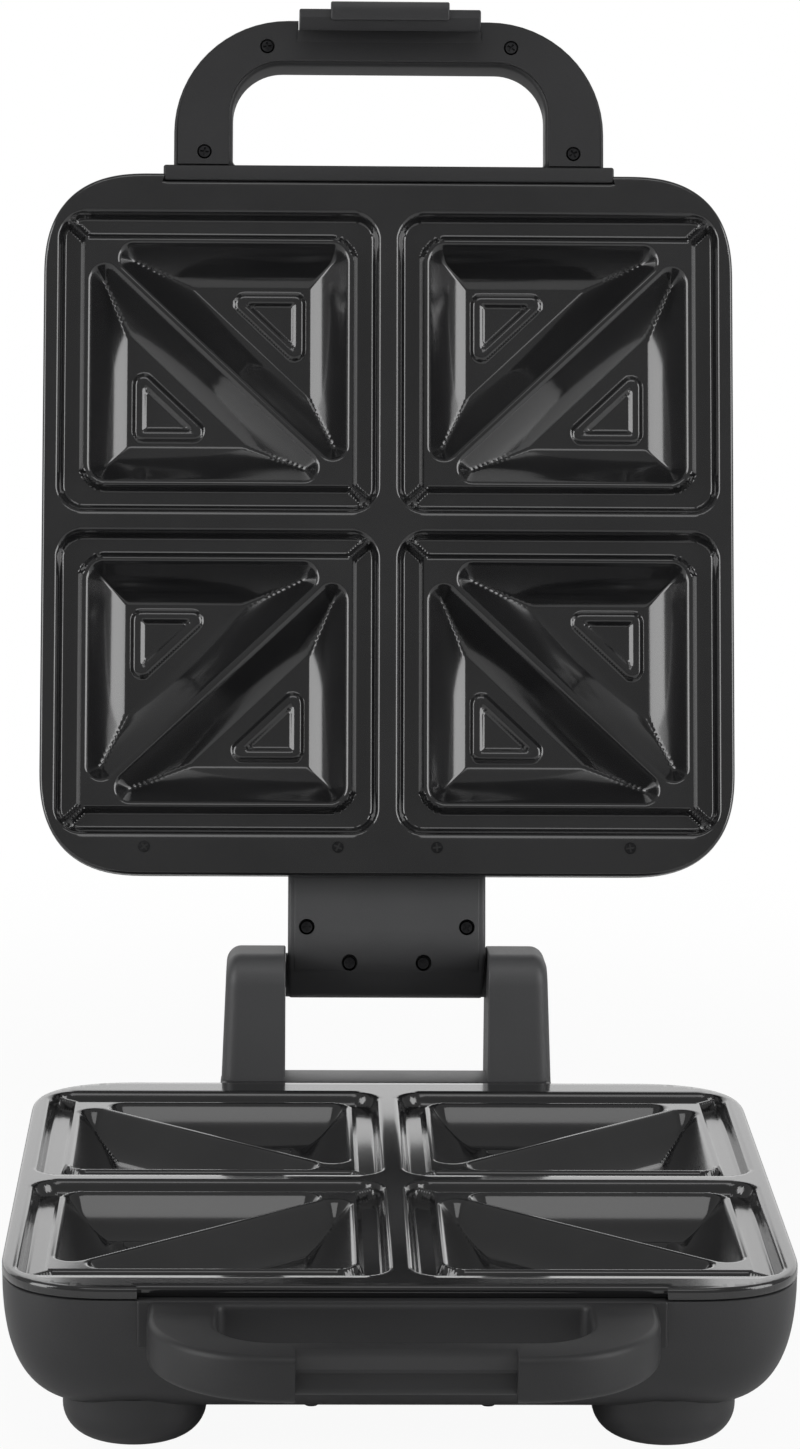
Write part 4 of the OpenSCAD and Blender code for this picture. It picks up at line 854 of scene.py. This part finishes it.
# hinge arm
armShape = {"half": 38.4, "coverHalf": 36.0, "coverWall": 2.6, "face": 9.8, "run": 20.0, "round": 20.0,
            "top": 30.0, "barrel": 9.2, "wells": [(31.1, 19.4), (14.4, 33.0)], "wellRadius": 3.1}


def armSide(inset):
    a = armShape
    heel = Vector((a["run"], a["face"] + a["round"]))
    axis = Vector((toaster["axisBack"], toaster["axisUp"]))
    d = axis - heel
    turn = math.degrees(math.atan2(d.y, d.x) - math.acos((a["round"] - a["barrel"]) / d.length))
    back = axis - Vector((-3.5, a["top"]))
    crest = math.degrees(math.atan2(back.y, back.x) + math.asin(a["barrel"] / back.length)) + 90
    side = [(-3.5, a["face"] + inset)]
    side += arc(heel.x, heel.y, a["round"] - inset, -90, turn, 20)
    side += arc(axis.x, axis.y, a["barrel"] - inset, turn, crest, 26)[1:]
    side += [(-3.5, a["top"] - inset)]
    return side


def makeArm():
    a = armShape
    outer = addPiece("hingeArm", pillow(armSide(0.25), -a["half"], a["half"], 1.6, 1.6), lidMatrix,
                     "satinMoulding", "lid", ["hinge_arm_outer"])
    lower, inner = ([(max(y, 0.6), z) for y, z in armSide(inset)[:-1] if z < 31.0 and y < 44]
                    for inset in (0.0, a["coverWall"]))
    cover = addPiece("hingeArmCover", pillow(lower + inner[::-1], -a["coverHalf"], a["coverHalf"], 0.5, 0.5, 3),
                     lidMatrix, "satinMoulding", "lid", ["hinge_arm_inner"])
    wells = [(rod(s * x, y, 0.0, 16.0 if y < 25 else 20.5, a["wellRadius"]), lidMatrix)
             for s in (-1, 1) for x, y in a["wells"]]
    carve(outer, wells)
    carve(cover, wells)
    hubs = [rod(0, 0, *ends, a["barrel"] - 0.6, 48) for ends in ((-39.2, -37.6), (37.6, 39.2))]
    turned = [([(z, toaster["axisBack"] + x, toaster["axisUp"] + y) for x, y, z in p], f) for p, f in hubs]
    addPiece("hingeHubs", mergeShapes(*turned), lidMatrix, "satinMoulding", "lid")
    print("hinge arm faces:", len(outer.data.polygons), len(cover.data.polygons))


makeArm()
print("hinge arm made")


# latch
latchShape = {"half": 35.5, "tab": 23.2, "front": -338.0, "back": -334.3, "low": -16.5, "pivotY": -334.4,
              "pivotZ": 15.3, "barrel": 3.6, "hook": 4.0}


def makeLatch():
    s = latchShape
    side = [(s["front"], s["low"] + 1.0), (s["front"] + 1.0, s["low"]), (s["back"] - 0.2, s["low"])]
    side += [(s["back"] + s["hook"] - 0.5, -13.2), (s["back"] + s["hook"], -12.6), (s["back"] + s["hook"], -12.0),
             (s["back"] + s["hook"] - 0.4, -11.7), (s["back"], -11.2)]
    side += arc(s["pivotY"], s["pivotZ"], s["barrel"], -80, 180, 18)
    body = pillow(side, -s["half"], s["half"], 0.7, 0.7, 4)
    f, low = s["front"], s["low"]
    tab = [(2.0, 14.0), (0.5, 14.0), (-0.5, 12.5), (-1.2, 9.0), (-2.3, 4.0), (-2.95, 2.0), (-2.95, 0.4),
           (-2.4, -0.8), (-1.0, -1.2), (3.9, -1.2), (4.6, -0.6), (4.6, 1.0)]
    tab = [(f + y, low + z) for y, z in tab]
    addPiece("latchBody", mergeShapes(body, pillow(tab, -s["tab"], s["tab"], 0.7, 0.7, 4)), lidMatrix,
             "blackMoulding", "latch", ["latch"])


makeLatch()
print("latch made")

# screws: one tree, run once for each body
screwShape = {"headRadius": 2.6, "headHeight": 1.7, "shankRadius": 1.5, "shankLength": 6.0,
              "slotLength": 3.3, "slotWidth": 0.75, "slotDepth": 1.1}


def screwTree():
    tree, g, v = startTree("crossHeadScrews", screwShape, "metal", takesPoints=True)
    head = g.wire("GeometryNodeMeshCylinder", {"fill_type": "NGON"}, {
        "Vertices": 32, "Radius": v["headRadius"], "Depth": v["headHeight"]})
    x, y, z = g.parts(g.wire("GeometryNodeInputPosition"))
    squeeze = 1 - (z > 0) * 0.16
    head = g.wire("GeometryNodeSetPosition", None, {
        "Geometry": head, "Position": g.join(x * squeeze, y * squeeze, z + v["headHeight"] / 2)})
    blades = [g.wire("GeometryNodeMeshCube", None, {"Size": g.join(a, b, v["slotDepth"] * 2)})
              for a, b in ((v["slotLength"], v["slotWidth"]), (v["slotWidth"], v["slotLength"]))]
    for blade in blades:
        moved = g.wire("GeometryNodeTransform", None, {
            "Geometry": blade, "Translation": g.join(0.0, 0.0, v["headHeight"])})
        cut = g.node("GeometryNodeMeshBoolean", {"operation": "DIFFERENCE", "solver": "EXACT"}, {0: head})
        tree.links.new(moved.socket, cut.inputs[1])
        head = Wire(g, cut.outputs[0])
    shank = g.wire("GeometryNodeMeshCylinder", {"fill_type": "NGON"}, {
        "Vertices": 16, "Radius": v["shankRadius"], "Depth": v["shankLength"]})
    shank = g.wire("GeometryNodeTransform", None, {
        "Geometry": shank, "Translation": g.join(0.0, 0.0, 0.02 - v["shankLength"] / 2)})
    both = g.node("GeometryNodeJoinGeometry")
    tree.links.new(shank.socket, both.inputs[0])
    tree.links.new(head.socket, both.inputs[0])
    facing = g.wire("GeometryNodeInputNamedAttribute", {"data_type": "FLOAT_VECTOR"}, {"Name": "facing"})
    turn = g.wire("FunctionNodeAlignRotationToVector", {"axis": "Z"}, {"Vector": facing})
    spin = g.wire("FunctionNodeRandomValue", {"data_type": "FLOAT"}, {"Seed": 7}, 1)
    twist = g.wire("FunctionNodeAxisAngleToRotation", None, {"Axis": (0.0, 0.0, 1.0), "Angle": spin * 1.5})
    turn = g.wire("FunctionNodeRotateRotation", {"rotation_space": "LOCAL"}, {"Rotation": turn, "Rotate By": twist})
    placed = g.wire("GeometryNodeInstanceOnPoints", None, {
        "Points": v["Geometry"], "Instance": Wire(g, both.outputs[0]), "Rotation": turn})
    return endTree(tree, g, placed, v["metal"])


def makeScrews():
    tree = screwTree()
    handle = [(s * x, -y) for s in (-1, 1) for x, y in ((72.5, 284.7), (48.0, 327.0))]
    lid = [((s * x, -11.0, 2.1), (0, 0, -1)) for s in (-1, 1) for x in (19.2, 94.2)]
    lid += [((x, y, 2.9), (0, 0, -1)) for x, y in handle]
    lid += [((s * x, y, 14.0 if y < 25 else 19.8), (0, 0, -1)) for s in (-1, 1) for x, y in armShape["wells"]]
    base = [((x, y, -20.3), (0, 0, -1)) for x, y in handle]
    base += [((s * 106.75, -u, -47.5), (0, 0, -1)) for s in (-1, 1) for u in (77.28, 198.72)]
    base += [((s * 30.0, -u, -47.5), (0, 0, -1)) for s in (-1, 1) for u in (28.25, 247.75)]
    base += [((s * 51.1, 47.5, z), (0, 1, 0)) for s in (-1, 1) for z in (-8.0, 20.0)]
    for name, spots, matrix, body, stands in (
            ("lidScrews", lid, lidMatrix, "lid", ["lid_plate_screws", "lid_handle_screws", "hinge_arm_screws"]),
            ("baseScrews", base, standMatrix, "base", ["base_handle_screws", "pan_screws", "tower_cover_screws"])):
        seed = bpy.data.meshes.new(name + "Seed")
        seed.from_pydata([p for p, _ in spots], [], [])
        facing = seed.attributes.new("facing", "FLOAT_VECTOR", "POINT")
        facing.data.foreach_set("vector", [c for _, d in spots for c in d])
        mesh = runTree(tree, seed, dict(screwShape, metal=materials["blackSteel"]))
        mesh.transform(matrix)
        weldMesh(mesh, 1e-7)
        finishMesh(name, mesh, "blackSteel", body, stands)
        print(name, len(spots), "screws")


makeScrews()

# finishes of the CAD pieces that stay
finishes = {
    "blackMoulding": ["bottom_pan", "tower_cover_left", "tower_cover_right", "cord_clamp"],
    "gripMoulding": ["base_handle_cover", "lid_handle_cover"],
    "softRubber": ["pad_front_left", "pad_front_right", "pad_rear_left", "pad_rear_right", "cord_gland"],
    "zincSteel": ["foot_screws", "base_plate_screws", "base_element_clamps", "thermostat", "thermal_fuse",
                  "cord_clamp_screws", "lid_element_clamps", "hinge_pin_left", "hinge_pin_right", "latch_pin",
                  "latch_spring"],
    "heaterSheath": ["base_element", "lid_element"],
    "rolledAluminium": ["base_reflector", "lid_reflector"],
    "wovenSleeve": ["base_lead", "base_wiring", "lid_lead"],
    "paleNylon": ["terminal_block", "hinge_bush_left", "hinge_bush_right"],
    "redLens": ["power_lens"], "greenLens": ["ready_lens"], "lampGlass": ["power_lamp", "ready_lamp"],
}
for finish, names in finishes.items():
    for name in names:
        slots = nodes[name].material_slots
        if len(slots) == 0:
            nodes[name].data.materials.append(materials[finish])
        for slot in slots:
            slot.material = materials[finish]
print("finishes set")


# floor, backdrop and light
studio = {"floorColour": rgb(0.9, 0.9, 0.9), "worldStrength": 0.25, "sidePower": 14.0, "topPower": 4.0,
          "white": 1.0, "backdropY": 4.6, "backdropHigh": 4.0}


def seenRays(g, *kinds):
    rays = g.node("ShaderNodeLightPath")
    seen = Wire(g, rays.outputs["Is Camera Ray"])
    for kind in kinds:
        seen = seen.atLeast(Wire(g, rays.outputs[kind]))
    return seen


def makeStudio():
    world = bpy.data.worlds.new("studio")
    bpy.context.scene.world = world
    g = emptyTree(world)
    seen = seenRays(g, "Is Transmission Ray")
    strength = studio["worldStrength"] + seen * (studio["white"] - studio["worldStrength"])
    sky = g.node("ShaderNodeBackground", None, {"Color": rgb(1, 1, 1), "Strength": strength})
    out = g.node("ShaderNodeOutputWorld")
    g.tree.links.new(sky.outputs[0], out.inputs[0])

    paleMaterials = {}
    for name, share in (("floor", 0.94), ("backdrop", 1.0)):
        paleMaterials[name] = material = bpy.data.materials.new("pale" + name)
        g = emptyTree(material)
        if name == "backdrop":
            seen = seenRays(g, "Is Transmission Ray", "Is Glossy Ray")
        else:
            seen = seenRays(g, "Is Transmission Ray")
            x, y, _ = g.parts(g.wire("ShaderNodeTexCoord", None, None, 3))
            away = ((x * x / 0.16 + y * y / 0.30).root() - 0.7).rise(0.0, 0.9)
            share = share + away * (1 - share)
        paint = g.node("ShaderNodeBsdfPrincipled", None, {"Base Color": studio["floorColour"], "Roughness": 0.8})
        glow = g.node("ShaderNodeEmission", None, {"Color": rgb(1, 1, 1), "Strength": studio["white"]})
        blend = g.node("ShaderNodeMixShader", None, {0: seen * share})
        g.tree.links.new(paint.outputs[0], blend.inputs[1])
        g.tree.links.new(glow.outputs[0], blend.inputs[2])
        out = g.node("ShaderNodeOutputMaterial")
        g.tree.links.new(blend.outputs[0], out.inputs[0])

    for name, corners in (
            ("floor", [(-6, -6, 0), (6, -6, 0), (6, 6, 0), (-6, 6, 0)]),
            ("backdrop", [(-6, studio["backdropY"], 0), (6, studio["backdropY"], 0),
                          (6, studio["backdropY"], studio["backdropHigh"]),
                          (-6, studio["backdropY"], studio["backdropHigh"])])):
        mesh = bpy.data.meshes.new(name)
        mesh.from_pydata(corners, [], [(0, 1, 2, 3)])
        mesh.materials.append(paleMaterials[name])
        addObject(name, mesh)

    for name, power, width, height, spot, aim in (
            ("leftLamp", studio["sidePower"], 0.8, 1.7, (-1.5, -0.6, 0.6), (0, 0, 0.3)),
            ("rightLamp", studio["sidePower"], 0.8, 1.7, (1.5, -0.6, 0.6), (0, 0, 0.3)),
            ("topLamp", studio["topPower"], 1.4, 0.7, (0.0, -0.9, 2.0), (0, 0, 0.1))):
        data = bpy.data.lights.new(name, "AREA")
        data.shape, data.energy, data.size, data.size_y = "RECTANGLE", power, width, height
        lamp = addObject(name, data)
        lamp.location = spot
        lamp.rotation_euler = (Vector(aim) - Vector(spot)).to_track_quat("-Z", "Y").to_euler()


makeStudio()
bpy.context.scene.view_settings.view_transform = "Standard"
print("studio made")
